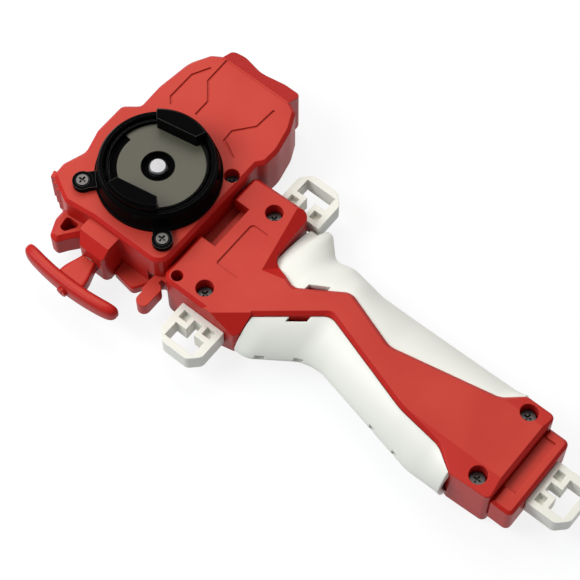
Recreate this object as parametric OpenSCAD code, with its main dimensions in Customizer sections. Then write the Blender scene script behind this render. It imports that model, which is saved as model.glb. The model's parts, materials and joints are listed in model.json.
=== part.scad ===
// Hand-held launcher for spinning tops: a string-pull launcher clipped to a pistol-type grip.
// Millimetres. The spin axis is Z, the part lies on the plane z = 0 with the launch head up,
// the pull handle leaves along -X and the grip runs along -Y.

/* [Launcher case] */
// Height of the closed launcher case
case_h = 26; // [25:0.5:32]
// Height of the plane where the two case halves meet
case_split = 17; // [16.5:0.25:19]
// Side wall of the case
case_wall = 2; // [1.6:0.1:2.4]
// Thickness of the front face
case_top_t = 2.2; // [1.6:0.1:3]
// Thickness of the back floor
case_floor_t = 2; // [1.6:0.1:2.4]
// Bevel around the front face
case_bevel = 1.2; // [0.6:0.1:2]
// Bevel around the back floor
foot_bevel = 5; // [3:0.25:6]
// Spin axis to the rear edge of the wing
case_rear = 48.5; // [47.5:0.5:56]
// Spin axis to the pull side of the case
case_left = 25; // [24.5:0.5:28]
// Spin axis to the wall that meets the grip
case_near = 22.2; // [22:0.2:25]
// Spin axis to the far wall beside the launch head
case_far = 27; // [26.5:0.5:31]
// Spin axis to the far wall of the wing
wing_far = 22; // [22:0.5:26]
// Spin axis to the near corner of the wing's rear edge
wing_near = 16.2; // [13:0.2:18]
// Swell of the wing past the launcher's near wall
wing_swell = 1.9; // [0.8:0.1:2.4]
// Length of the sloping lip behind the wing
lip_reach = 6; // [4:0.5:8]
// Height that the rear lip falls
lip_drop = 4; // [2:0.5:6]
// Width of the engraved panel lines
groove_w = 0.8; // [0.5:0.1:1.2]
// Depth of the engraved panel lines
groove_d = 0.5; // [0.3:0.1:0.8]
// Spin axis to the mouth of the string outlet
outlet_reach = 33.5; // [32:0.5:36]
// Width of the outlet block
outlet_w = 12.4; // [10:0.2:15]
// Height of the outlet block
outlet_h = 23.4; // [20:0.2:24.5]
// Sideways place of the string outlet
outlet_y = 1.9; // [0:0.1:3]
// Height of the string outlet
outlet_z = 12; // [11:0.25:12.5]
// Spin axis to the tip of the side bracket
bracket_reach = 35.5; // [32:0.5:38]
// Height of the side bracket
bracket_h = 16; // [13:0.5:16.5]

/* [Launch head] */
// Radius of the collar at its foot
collar_r = 21; // [20.4:0.1:22]
// Radius of the collar at its top
collar_top_r = 19.4; // [18.8:0.1:20]
// Height of the collar above the case
collar_h = 8.5; // [8:0.1:10]
// Thickness of the collar's floor
collar_floor_t = 2.5; // [2:0.1:3]
// Radius of the spigot that seats in the case
spigot_r = 12; // [10:0.2:14]
// Radius of a collar ear
ear_r = 3.4; // [3.1:0.1:4]
// Distance from the spin axis to the ears, along the pull
ear_x = 18; // [17:0.2:19]
// Distance from the spin axis to the ears, across the pull
ear_y = 17; // [16:0.2:18]
// Radius of the rotor
rotor_r = 17; // [16:0.1:17.4]
// Clearance between rotor and collar
head_gap = 0.35; // [0.25:0.05:0.6]
// Thickness of the rotor's disc
rotor_t = 2.4; // [2:0.1:3]
// Radius of the rotor's shaft
shaft_r = 6.4; // [6:0.1:7]
// Radius of the shaft's lower end
shaft_end_r = 5.6; // [5.2:0.1:5.8]
// Prong height above the collar
prong_rise = 3.5; // [2:0.1:5]
// Spin axis to the inner face of a prong
prong_inner = 12.4; // [11:0.1:13.5]
// Spin axis to the outer face of a prong's head
prong_outer = 18.6; // [17.5:0.1:19]
// Angle that a prong spans
prong_span = 61; // [40:1:75]
// Angle of the first prong about the spin axis
prong_turn = 10.5; // [0:0.5:30]
// Thickness of the floor plate
plate_t = 0.6; // [0.4:0.1:1]
// Radius of the hole in the floor plate
plate_hole_r = 5.6; // [5:0.1:7]
// Width of the bare ledge beside the floor plate
ledge_w = 3.7; // [2.5:0.1:4.4]
// Radius of the centre pin
pin_r = 3; // [2.6:0.1:3.2]
// Travel of the centre pin
pin_travel = 2.5; // [1.5:0.1:3]

/* [Gear train] */
// Module of the gears
gear_module = 1; // [0.95:0.01:1.02]
// Teeth on the string spool
spool_teeth = 32; // [31:1:32]
// Teeth on the drive pinion
pinion_teeth = 22; // [21:1:23]
// Pressure angle of the teeth
pressure_angle = 20; // [20:0.5:22]
// Play between the teeth
backlash = 0.14; // [0.1:0.01:0.2]
// Face width of the gears
gear_t = 3.5; // [2.5:0.1:4]
// Sideways place of the spool's axis
spool_y = 2; // [1:0.1:2.4]
// Radius of the spool's drum
drum_r = 11; // [10:0.1:11.6]
// Height of the drum's flange beyond the drum
flange_h = 2.6; // [1.8:0.1:2.8]
// Radius of the spool's axle
axle_r = 2; // [1.6:0.1:2.4]
// Radial clearance of a running fit
run_gap = 0.05; // [0.03:0.01:0.09]
// Thickness of the mainspring's strip
strip_t = 0.3; // [0.2:0.05:0.4]
// Turns of the mainspring
strip_turns = 5; // [4:1:5]

/* [String] */
// Diameter of the pull string
cord_d = 1.2; // [1:0.1:1.3]
// Distance between turns on the drum
wound_pitch = 1.7; // [1.7:0.02:1.75]

/* [Pull handle] */
// Length of the cross bar
bar_len = 39; // [34:0.5:44]
// Thickness of the cross bar along the pull
bar_t = 4.5; // [4:0.1:5.5]
// Height of the handle
bar_h = 8; // [6.5:0.1:9]
// Radius of the cross bar's curve
bar_bow_r = 90; // [70:1:120]
// Length of the neck between case and bar
neck_len = 8.6; // [7:0.1:12]
// Width of the neck at the bar
neck_w_bar = 10.4; // [9:0.1:11]
// Width of the neck at the case
neck_w_case = 5.8; // [5:0.1:7]
// Step from the cross bar's faces down to the neck
neck_step = 1.2; // [0.6:0.1:1.6]

/* [Release lever] */
// Spin axis to the lever's pivot, along the pull
pivot_x = 17; // [16:0.2:18]
// Spin axis to the lever's pivot, across the pull
pivot_y = 17; // [16.6:0.1:17.2]
// Radius of the pivot pin
pivot_r = 1.25; // [1:0.05:1.5]
// Spin axis to the paddle's tip
paddle_reach = 36; // [34:0.5:38]
// Length of the oval paddle
paddle_len = 10; // [8:0.2:11]
// Width of the oval paddle
paddle_w = 4.6; // [4:0.1:5.2]
// Height of the lever
lever_h = 6; // [5:0.1:6.4]

/* [Grip] */
// Height of the closed grip
grip_h = 22; // [20:0.5:23]
// Sideways place of the grip's centre line
grip_axis = -3; // [-4:0.25:-2]
// Gap between the grip and the launcher's wall
grip_gap = 0.7; // [0.4:0.1:1]
// Length of the red shells
grip_len = 126.4; // [120:0.2:135]
// Side wall of the shells
grip_wall = 2; // [1.6:0.1:2.4]
// Thickness of the shells' faces
grip_face_t = 2; // [1.6:0.1:2.6]
// Bevel around the faces
grip_bevel = 1.2; // [0.6:0.1:1.6]
// Centre line to the head block's pull side
block_left = 23.1; // [22.5:0.1:25]
// Centre line to the head block's rear side
block_right = 24.9; // [24:0.1:26]
// Length of the head block on its pull side
block_left_len = 21.6; // [21:0.2:24]
// Length of the head block on its rear side
block_right_len = 22.6; // [22:0.2:23.4]
// Depth of the open notch above the rail
notch_d = 6.6; // [5:0.1:7]
// Width of the open notch above the rail
notch_w = 17.4; // [14:0.2:20]
// Distance from the block's edge to the waist
waist_at = 50.7; // [48:0.2:53]
// Centre line to the finger side of the waist
waist_left = 0.8; // [0:0.1:1.6]
// Centre line to the palm side of the waist
waist_right = 11.2; // [10.5:0.1:12.5]
// Distance from the block's edge to the bend on the palm side
bend_at = 71.6; // [69:0.2:74]
// Centre line to the bend on the palm side
bend_right = 4; // [3:0.1:5]
// Half the width of the end block
end_half_w = 17.5; // [17:0.1:19]
// Length of the end block
end_len = 11; // [10:0.2:13]

/* [Grip pads] */
// Wall of the pads
pad_wall = 2; // [1.4:0.1:2.2]
// Depth of the pads below the red face
pad_drop = 1.7; // [1.2:0.1:2.4]
// Gap between pads and shells
pad_gap = 0.15; // [0.05:0.05:0.3]
// Centre line to the finger pad's upper bulge
finger_top = 24.5; // [24:0.1:26]
// Centre line to the finger pad's waist
finger_waist = 12.2; // [11:0.1:14]
// Centre line to the finger pad's lower bulge
finger_end = 22.3; // [21.4:0.1:24]
// Centre line to the palm pad's upper bulge
palm_top = 27.8; // [27:0.1:29]
// Centre line to the palm pad's lower part
palm_end = 20; // [19.4:0.1:22]

/* [Strap loops] */
// Length of a loop beyond the grip
loop_len = 14.8; // [14:0.1:16]
// Width of a loop
loop_w = 17.2; // [16.6:0.1:18]
// Thickness of a loop
loop_t = 7; // [6:0.1:8]
// Width of the strap slot
slot_w = 11.6; // [11:0.1:12]
// Length of the strap slot
slot_len = 5.6; // [5.2:0.1:5.8]
// Distance from the block's edge to the side loops
loop_at = 17.6; // [17:0.1:18.4]
// Length of the end cap
cap_len = 8; // [7:0.1:9]
// Width of the end cap
cap_w = 31.2; // [29:0.2:32]
// Height of the end cap
cap_h = 18; // [16:0.5:19]

/* [Screws] */
// Radius of the screws' shanks
screw_r = 1.3; // [1.1:0.05:1.5]
// Radius of the screws' heads
screw_head_r = 2.5; // [2.3:0.05:2.6]
// Radius of the collar screws' heads
ear_head_r = 2; // [1.9:0.05:2.2]
// Height of the screws' heads
screw_head_h = 1.6; // [1.2:0.1:2]
// Radius of the wells in the faces
well_r = 3; // [2.8:0.05:3.1]
// Depth of the wells in the grip's face
well_d = 6; // [5:0.2:7]
// Centre line to the block screws
block_screw_u = 17.5; // [17:0.1:18]
// Distance from the block's edge to the block screws
block_screw_v = 13.7; // [13.4:0.1:14.4]
// Centre line to the end screws
end_screw_u = 13.2; // [12.6:0.1:13.8]
// Distance from the end edge to the end screws
end_screw_v = 7.2; // [6.4:0.1:7.6]

/* [Hidden] */
$fn = 48;

eps = 0.01;
arc_steps = 5;
red = "firebrick";
ivory = "ivory";
black = [0.06, 0.06, 0.065];
steel = [0.72, 0.72, 0.74];
natural = [0.9, 0.89, 0.85];

// Levels inside the launcher: the gears hang below the front face, and the drum fills the rest
rise_gap = 1.2;
flange_t = 1.2;
clutch_room = 4.8;
cavity_top = case_h - case_top_t;
gear_top = cavity_top - clutch_room;
gear_z = gear_top - gear_t;
flange_z = case_floor_t + rise_gap;
drum_z = flange_z + flange_t;
drum_len = gear_z - drum_z;
hub_top = gear_top + 1.5;
web_z = gear_z - 2;
seat_gap = 0.1;
arbor_top = web_z - seat_gap;
boss_top = cavity_top + 0.6;
boss_low = case_floor_t - 0.6;

// Levels of the launch head
collar_z = case_h;
collar_top = case_h + collar_h;
rotor_z = case_h + collar_floor_t + 0.5;
rotor_top = rotor_z + rotor_t;
rim_top = collar_top - 0.9;
prong_top = collar_top + prong_rise;
prong_step = collar_top + head_gap;
pin_top = rotor_top + plate_t + 0.2;
spigot_z = cavity_top - 2;
clip_t = 0.8;
clip_z = spigot_z - 0.3 - clip_t;
shaft_z = gear_z - 1.3;
chamber_r = pin_r + 0.9;
guide_z = rotor_z - 3;
seat_t = 1.5;

// Gear geometry
spool_pitch_r = gear_module * spool_teeth / 2;
pinion_pitch_r = gear_module * pinion_teeth / 2;
centre_distance = spool_pitch_r + pinion_pitch_r;
spool_x = sqrt(pow(centre_distance, 2) - pow(spool_y, 2));
spool_dir = atan2(spool_y, spool_x);
wound_r = drum_r + cord_d / 2 + 0.1;
hollow_r = drum_r - 1.5;
arbor_r = axle_r + 1.4;

// Screw places
front_screw = [14.7, -(case_near - well_r - 0.6)];
front_well_z = case_split + 3;
back_tip_z = cavity_top - 2.8;
ear_screw_len = 5.6;
back_screws = [[10.5, case_far - 8.5], [-12, case_far - 8.5], [-13.5, -9.5]];
ear_places = [[-ear_x, ear_y], [-ear_x, -ear_y]];
boss_r = screw_head_r + 1.6;
pilot_r = screw_r + 0.02;

// Grip places: u across from the centre line, v along the grip from the block's edge
block_y = -(case_near + grip_gap);
grip_mid = grip_h / 2;
block_screws = [[-block_screw_u, block_screw_v], [block_screw_u, block_screw_v]];
end_screws = [[-end_screw_u, grip_len - end_screw_v], [end_screw_u, grip_len - end_screw_v]];
peg_r = 2;
peg_d = 8;
peg_place = [-block_left + 3.4, 4];

// Rail that carries the launcher on the grip
rail_neck_h = 6;
rail_head_h = 11;
rail_neck_d = 3.6;
rail_head_d = 3;
rail_left = -17;
rail_right = 13.5;
rail_gap = 0.2;

function flat(p) = [p.x, p.y];
function unit(v) = v / norm(v);
function inward(a, b) = let (d = unit(b - a)) [-d.y, d.x];
function meet(p, d, q, e) = p + d * (cross(q - p, e) / cross(d, e));
function at(list, i) = list[(i + len(list)) % len(list)];

// Corners [x, y, radius] of an outline moved inwards by d
function inset(corners, d) = [
    for (i = [0:len(corners) - 1])
        let (a = flat(at(corners, i - 1)), b = flat(corners[i]), c = flat(at(corners, i + 1)))
        let (p = meet(a + inward(a, b) * d, b - a, b + inward(b, c) * d, c - b))
        [p.x, p.y, max(corners[i][2] - d, 0.3)]];

// Points of the arc that rounds corner b between a and c
function corner_arc(a, b, c, r) =
    let (u = unit(a - b), v = unit(c - b), half = acos(u * v) / 2)
    let (centre = b + unit(u + v) * r / sin(half))
    let (start = b + u * r / tan(half) - centre, stop = b + v * r / tan(half) - centre)
    let (a0 = atan2(start.y, start.x), turn = atan2(cross(start, stop), start * stop))
    [for (k = [0:arc_steps]) centre + r * [cos(a0 + turn * k / arc_steps), sin(a0 + turn * k / arc_steps)]];

// Closed outline with every corner rounded
function rounded(corners) = [
    for (i = [0:len(corners) - 1])
        each corner_arc(flat(at(corners, i - 1)), flat(corners[i]), flat(at(corners, i + 1)), corners[i][2])];

// Open path with its inner corners rounded
function rounded_path(corners) = [
    flat(corners[0]),
    for (i = [1:len(corners) - 2])
        each corner_arc(flat(corners[i - 1]), flat(corners[i]), flat(corners[i + 1]), corners[i][2]),
    flat(corners[len(corners) - 1])];

// Corners of the launcher case, seen from the front
function case_corners() = [
    [-case_left, -case_near, 5],
    [grip_axis + block_right + 1.2, -case_near, 1.5],
    [grip_axis + block_right + 3.6, -(case_near + wing_swell), 3],
    [case_rear - 17, -(case_near + wing_swell + 0.3), 12],
    [case_rear - 8, -(wing_near + 6.2), 12],
    [case_rear - 1.8, -(wing_near + 3.2), 3],
    [case_rear, -wing_near, 2.5],
    [case_rear, wing_far - 8.6, 2.5],
    [case_rear - 2.2, wing_far - 5.2, 3],
    [case_rear - 9, wing_far - 1.4, 12],
    [26, wing_far + 0.3, 12],
    [16.5, wing_far, 2.5],
    [12.5, case_far, 2.5],
    [0.5, case_far, 3],
    [-8, case_far - 2.4, 5],
    [-16, case_far + 0.4, 4],
    [-21.4, case_far, 2.5],
    [-case_left - 1.4, wing_far - 4.5, 3],
    [-case_left, outlet_y + outlet_w / 2 - 2, 2.5]];

// Corners of the outlet block
function outlet_corners() = [
    [-outlet_reach, outlet_y - outlet_w / 2, 1.2],
    [-case_left + 4, outlet_y - outlet_w / 2, 0.4],
    [-case_left + 4, outlet_y + outlet_w / 2, 0.4],
    [-outlet_reach + 4, outlet_y + outlet_w / 2, 2],
    [-outlet_reach, outlet_y + outlet_w / 2 - 2.5, 1.5]];

// Outlet block between two heights, its mouth sloping back at the top and the bottom
module outlet_block(z0, z1) {
    slope_top = z1 > case_split ? 3.5 : 0.02;
    slope_low = z0 < case_split ? 2.5 : 0.02;
    intersection() {
        slab(rounded(outlet_corners()), z0, z1);
        translate([0, outlet_y + outlet_w, 0]) rotate([90, 0, 0]) linear_extrude(2 * outlet_w)
            polygon([
                [-outlet_reach + slope_low, z0], [-case_left + 6, z0], [-case_left + 6, z1],
                [-outlet_reach + slope_top, z1], [-outlet_reach - 0.02, z1 - slope_top],
                [-outlet_reach - 0.02, z0 + slope_low]]);
    }
}

// Corners of the curved bracket beside the outlet
function bracket_corners() = [
    [-case_left + 3, outlet_y + 5, 0.5],
    [-case_left + 3, wing_far - 1.5, 0.5],
    [-bracket_reach + 6, wing_far - 1.8, 4],
    [-bracket_reach, wing_far - 4.5, 2],
    [-bracket_reach - 0.4, wing_far - 7.6, 1.5],
    [-bracket_reach + 2.4, wing_far - 9.4, 1.2],
    [-bracket_reach + 7, outlet_y + 7, 1]];

// Corners of the skirt below the outlet's finger recess
function skirt_corners() = [
    [-case_left - 4.5, -4.5, 1],
    [-case_left - 5.8, -13.5, 2],
    [-case_left + 1, -17.5, 0.5],
    [-case_left + 3, -4, 0.5]];

// Grip outline in u, v, then in X, Y
function grip_place(p) = [grip_axis + p[0], block_y - p[1]];
function grip_corner(p) = [grip_axis + p[0], block_y - p[1], p[2]];
finger_edge = [
    [-block_left, block_left_len, 2],
    [waist_left, waist_at, 4.5],
    [waist_left - 11.4, waist_at + 36.5, 30],
    [waist_left - 13.6, grip_len - end_len - 11.5, 9],
    [-end_half_w - 0.6, grip_len - end_len - 3.6, 2.5]];
palm_edge = [
    [end_half_w, grip_len - end_len, 3],
    [end_half_w - 5.6, grip_len - end_len - 6.4, 7],
    [bend_right, bend_at, 7],
    [waist_right, waist_at, 4.5],
    [waist_right - 10.3, waist_at - 15.5, 3.5],
    [block_right - 19.9, block_right_len + 1.4, 4],
    [block_right, block_right_len, 2.5]];
function grip_corners() = [
    for (p = concat(
        [[-block_left, 0, 3.5]], finger_edge,
        [[-end_half_w, grip_len, 2], [end_half_w, grip_len, 2]],
        palm_edge, [[block_right - 0.6, 0, 2]])) grip_corner(p)];

// Edges of the red shells as u over v, for the pads that lie against them
finger_line = [for (p = rounded_path(finger_edge)) [p.y, p.x]];
palm_line = [for (p = rounded_path(palm_edge)) [p.y, p.x]];
finger_bulge = [
    for (p = rounded_path([
        [-finger_top, block_left_len, 1], [-finger_top, waist_at - 14.6, 8], [-finger_waist, waist_at + 2.9, 16],
        [-finger_end, grip_len - 27.3, 20], [-finger_end + 0.7, grip_len, 1]])) [p.y, p.x]];
palm_bulge = [
    for (p = rounded_path([
        [block_right - 0.3, block_right_len, 1], [block_right - 0.3, loop_at + loop_w / 2 + 0.4, 0.1],
        [palm_top, loop_at + loop_w / 2 + 2, 1], [palm_top - 0.3, loop_at + loop_w / 2 + 4.2, 2],
        [palm_end + 0.6, waist_at - 13.6, 4], [palm_end + 2.3, waist_at - 6.8, 6],
        [palm_end, waist_at + 6.4, 15],
        [palm_end + 0.8, grip_len, 1]])) [p.y, p.x]];

// Points along the string's run, from the handle's knot to the drum
knot_x = -outlet_reach - neck_len - bar_t / 2 - seat_gap;
bush_len = 5.5;
bend_from = [-outlet_reach + bush_len, outlet_y, outlet_z];
wound_low = drum_z + cord_d / 2 + 0.2;
wound_turns = floor(2 * (drum_len - cord_d - 0.4) / wound_pitch) / 2;
wound_high = wound_low + wound_turns * wound_pitch;
leave_turn = -90 - atan2(outlet_y - (spool_y - wound_r), spool_x + outlet_reach - bush_len);
leave_point = [spool_x + wound_r * cos(leave_turn), spool_y + wound_r * sin(leave_turn), wound_high];

function rings_points(rings) = [for (r = rings) each r];
function side_faces(n, sides) = [
    for (i = [0:n - 2], k = [0:sides - 1], half = [0, 1])
        let (a = i * sides + k, b = i * sides + (k + 1) % sides)
        half == 0 ? [a, a + sides, b] : [b, a + sides, b + sides]];
function tube_faces(n, sides) = concat(
    [[for (k = [0:sides - 1]) k]],
    side_faces(n, sides),
    [[for (k = [sides - 1:-1:0]) (n - 1) * sides + k]]);
function turned(faces) = [for (f = faces) [f[2], f[1], f[0]]];

// Triangles that fill an outline, cutting one corner after another
function twice_area(a, b, c) = cross(b - a, c - a);
function holds(a, b, c, p) = twice_area(a, b, p) >= 0 && twice_area(b, c, p) >= 0 && twice_area(c, a, p) >= 0;
function can_cut(points, ids, i) =
    let (n = len(ids), a = points[at(ids, i - 1)], b = points[ids[i]], c = points[at(ids, i + 1)])
    twice_area(a, b, c) > 1e-6 && len([for (j = [2:n - 2]) if (holds(a, b, c, points[at(ids, i + j)])) j]) == 0;
function next_cut(points, ids, i) = can_cut(points, ids, i) ? i : next_cut(points, ids, i + 1);
function filled(points, ids) = len(ids) == 3 ? [ids] :
    let (i = next_cut(points, ids, 0))
    concat([[at(ids, i - 1), ids[i], at(ids, i + 1)]],
           filled(points, [for (j = [1:len(ids) - 1]) at(ids, i + j)]));

// Ring of a tube of radius r at point p, square to direction d
function ring_at(p, d, r, sides) =
    let (w = unit(d), u = unit(cross(w, abs(w.z) > 0.9 ? [1, 0, 0] : [0, 0, 1])), v = cross(w, u))
    [for (k = [0:sides - 1]) p + r * (u * cos(360 * k / sides) + v * sin(360 * k / sides))];
function path_dir(path, i) =
    path[min(i + 1, len(path) - 1)] - path[max(i - 1, 0)];

// Tube of radius r carried along a path of points
module tube(path, r, sides) {
    rings = [for (i = [0:len(path) - 1]) ring_at(path[i], path_dir(path, i), r, sides)];
    polyhedron(rings_points(rings), tube_faces(len(rings), sides));
}

// Points of a coil about the Z axis at the origin
function coil(r, z0, pitch, turns, steps, start) = [
    for (i = [0:ceil(turns * steps)])
        let (t = min(i / steps, turns))
        [r * cos(start + 360 * t), r * sin(start + 360 * t), z0 + pitch * t]];

// Least gap between the turns of a tube, measured on its points
function least_gap(path, d, apart) = min([
    for (i = [0:len(path) - 1], j = [i + apart:1:len(path) - 1]) norm(path[i] - path[j])]) - d;

// Prism of rounded corners with bevelled lower and upper edges
module bevelled(corners, z0, z1, lower, upper) {
    levels = concat(
        lower > 0 ? [[lower, z0], [0, z0 + lower]] : [[0, z0]],
        upper > 0 ? [[0, z1 - upper], [upper, z1]] : [[0, z1]]);
    outlines = [for (l = levels) rounded(inset(corners, l[0]))];
    n = len(levels);
    sides = len(outlines[0]);
    ids = [for (k = [0:sides - 1]) k];
    top = [for (f = turned(filled(outlines[n - 1], ids))) [for (k = f) k + (n - 1) * sides]];
    polyhedron(
        [for (i = [0:n - 1], p = outlines[i]) [p.x, p.y, levels[i][1]]],
        concat(filled(outlines[0], ids), side_faces(n, sides), top));
}

module slab(points, z0, z1) {
    translate([0, 0, z0]) linear_extrude(z1 - z0) polygon(points);
}

module drum_of(r, z0, z1) {
    translate([0, 0, z0]) cylinder(h = z1 - z0, r = r);
}

module post(place, r, z0, z1) {
    translate([place.x, place.y, z0]) cylinder(h = z1 - z0, r = r);
}

module block(low, high) {
    translate(low) cube(high - low);
}

// Cylinder along X
module bar_x(x0, x1, y, z, r) {
    translate([x0, y, z]) rotate([0, 90, 0]) cylinder(h = x1 - x0, r = r);
}

// Involute tooth profile and gear outline
function involute_turn(rb, r) = let (t = sqrt(pow(r / rb, 2) - 1)) t * 180 / PI - atan(t);
function gear_points(teeth, turn) =
    let (pr = gear_module * teeth / 2, rb = pr * cos(pressure_angle), tip = pr + gear_module)
    let (root = pr - 1.25 * gear_module, low = max(rb, root))
    let (half = 90 / teeth - backlash / 2 / pr * 180 / PI + involute_turn(rb, pr), steps = 4)
    [for (k = [0:teeth - 1]) let (mid = turn + 360 * k / teeth) each concat(
        [root * [cos(mid - half - 0.4), sin(mid - half - 0.4)]],
        [for (i = [0:steps]) let (r = low + (tip - low) * i / steps, a = mid - half + involute_turn(rb, r))
            r * [cos(a), sin(a)]],
        [for (i = [steps:-1:0]) let (r = low + (tip - low) * i / steps, a = mid + half - involute_turn(rb, r))
            r * [cos(a), sin(a)]],
        [root * [cos(mid + half + 0.4), sin(mid + half + 0.4)]])];

// Cross recess of a screw head at height z
module cross_recess(place, z) {
    for (turn = [0, 90])
        translate([place.x, place.y, z]) rotate(turn) translate([-1.3, -0.3, -0.9]) cube([2.6, 0.6, 1]);
}

// Pan-head screw with its head resting on z, pointing down
module screw_down(place, z, length, head = screw_head_r) {
    difference() {
        union() {
            post(place, head, z, z + screw_head_h);
            post(place, screw_r, z - length, z + eps);
        }
        cross_recess(place, z + screw_head_h);
    }
}

// Points of a path moved sideways by d, each run staying parallel
function beside(path, d) = [
    for (i = [0:len(path) - 1])
        let (a = path[max(i - 1, 0)], b = path[i], c = path[min(i + 1, len(path) - 1)])
        i == 0 ? b + inward(b, c) * d : i == len(path) - 1 ? b + inward(a, b) * d :
        meet(a + inward(a, b) * d, b - a, b + inward(b, c) * d, c - b)];

// Engraved line along a path on the front face
module groove(path) {
    left = beside(path, groove_w / 2);
    right = beside(path, -groove_w / 2);
    slab(concat(right, [for (i = [len(left) - 1:-1:0]) left[i]]), case_h - groove_d, case_h + 1);
}

panel_lines = [
    [[case_rear - 25.5, 14.4], [case_rear - 23.3, 16.4], [case_rear - 12.5, 16.4], [case_rear - 6.5, 13.2]],
    [[case_rear - 23.5, 5.5], [case_rear - 17, 5.5], [case_rear - 10.8, 10.7], [case_rear - 0.6, 10.9]],
    [[case_rear - 6, -13.7], [case_rear - 14.3, -13.2], [case_rear - 20.9, -7.9], [case_rear - 25.1, -8.2],
     [case_rear - 28.3, -14.6]]];

// Sloping lip behind the wing, with its wavy rear edge
lip_corners = [
    [case_rear - 4, -wing_near + 0.6, 0.5],
    [case_rear + lip_reach, -wing_near + 0.8, 2],
    [case_rear + lip_reach, -wing_near + 7.6, 3],
    [case_rear + lip_reach - 2.2, 0, 8],
    [case_rear + lip_reach, wing_far - 13.5, 6],
    [case_rear + lip_reach - 1, wing_far - 8.8, 2],
    [case_rear - 4, wing_far - 9.2, 0.5]];
module rear_lip(z0, z1) {
    intersection() {
        slab(rounded(lip_corners), z0, z1);
        translate([0, wing_far, 0]) rotate([90, 0, 0]) linear_extrude(wing_far + case_near)
            polygon([
                [case_rear - 5, 0], [case_rear + lip_reach - 3, 0], [case_rear + lip_reach + 1, 6],
                [case_rear + lip_reach + 1, case_h - lip_drop], [case_rear + lip_reach, case_h - lip_drop],
                [case_rear - 0.4, case_h - 0.2], [case_rear - 5, case_h - 0.2]]);
    }
}

// Ribbed teeth on the far corner of the pull side
module corner_teeth(z0, z1) {
    for (i = [0:2])
        translate([-21.4 - 1.25 * i, case_far - 0.8 - 2.3 * i, z0]) rotate(16) cube([2.4, 1.8, 2 * (z1 - z0)], center = false);
}

module case_outside_front() {
    bevelled(case_corners(), case_split, case_h, 0, case_bevel);
    rear_lip(case_split, case_h);
    outlet_block(case_split, outlet_h);
    corner_teeth(case_split, case_split + (case_h - case_split) / 2 - 1);
}

module launcher_front_case() {
    inner = rounded(inset(case_corners(), case_wall));
    color(red) difference() {
        union() {
            difference() {
                case_outside_front();
                slab(inner, case_split - eps, cavity_top);
            }
            post(front_screw, well_r + 0.4, case_split, boss_top);
            for (p = ear_places) post(p, 3, case_split, boss_top);
            for (p = back_screws) post(p, boss_r - 0.8, case_split, boss_top);
            post([spool_x, spool_y], arbor_r + 1, hub_top + 0.8, boss_top);
        }
        drum_of(spigot_r + run_gap, cavity_top - 1, case_h + 1);
        post(front_screw, well_r - 0.4, front_well_z, case_h + 1);
        post(front_screw, screw_r + 0.2, case_split - 1, front_well_z + 1);
        for (p = ear_places) post(p, pilot_r, case_h - ear_screw_len, case_h + 1);
        for (p = back_screws) post(p, pilot_r, case_split - 1, back_tip_z + 1.5);
        post([spool_x, spool_y], axle_r + 0.02, hub_top, cavity_top);
        for (line = panel_lines) groove(line);
    }
}

// Space that the release lever sweeps inside the case
lever_z = outlet_z - lever_h / 2 - 0.2;
lever_top = lever_z + lever_h;
lever_gap = 0.4;
pivot = [-pivot_x, -pivot_y];
arm_y = -(case_near - 0.8);
arm_w = 3;
paddle_y = arm_y;

// Hub and arm of the lever
module lever_arm() {
    post(pivot, 3, lever_z, lever_top);
    slab([
        [pivot.x, pivot.y + 2.9], [pivot.x - 4, arm_y + arm_w], [-paddle_reach + paddle_len / 2, arm_y + arm_w],
        [-paddle_reach + paddle_len / 2, arm_y], [pivot.x - 3, arm_y], [pivot.x, pivot.y - 2.9]], lever_z, lever_top);
}

module case_outside_back() {
    bevelled(case_corners(), 0, case_split, foot_bevel, 0);
    rear_lip(4, case_split);
    outlet_block(4, case_split);
    bevelled(bracket_corners(), 5, bracket_h, 1.5, 1.5);
    bevelled(skirt_corners(), 2.5, lever_z - 1, 1.5, 0.6);
    rail();
    corner_teeth(case_split - 6, case_split - 3);
}

// Rail on the near wall, T-shaped in section
module rail() {
    mid = grip_mid;
    block([rail_left, -case_near - rail_neck_d, mid - rail_neck_h / 2],
          [rail_right, -case_near + 1, mid + rail_neck_h / 2]);
    block([rail_left, -case_near - rail_neck_d - rail_head_d, mid - rail_head_h / 2],
          [rail_right, -case_near - rail_neck_d, mid + rail_head_h / 2]);
}

lever_seat = [-22.5, arm_y + arm_w + 3.6];

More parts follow.
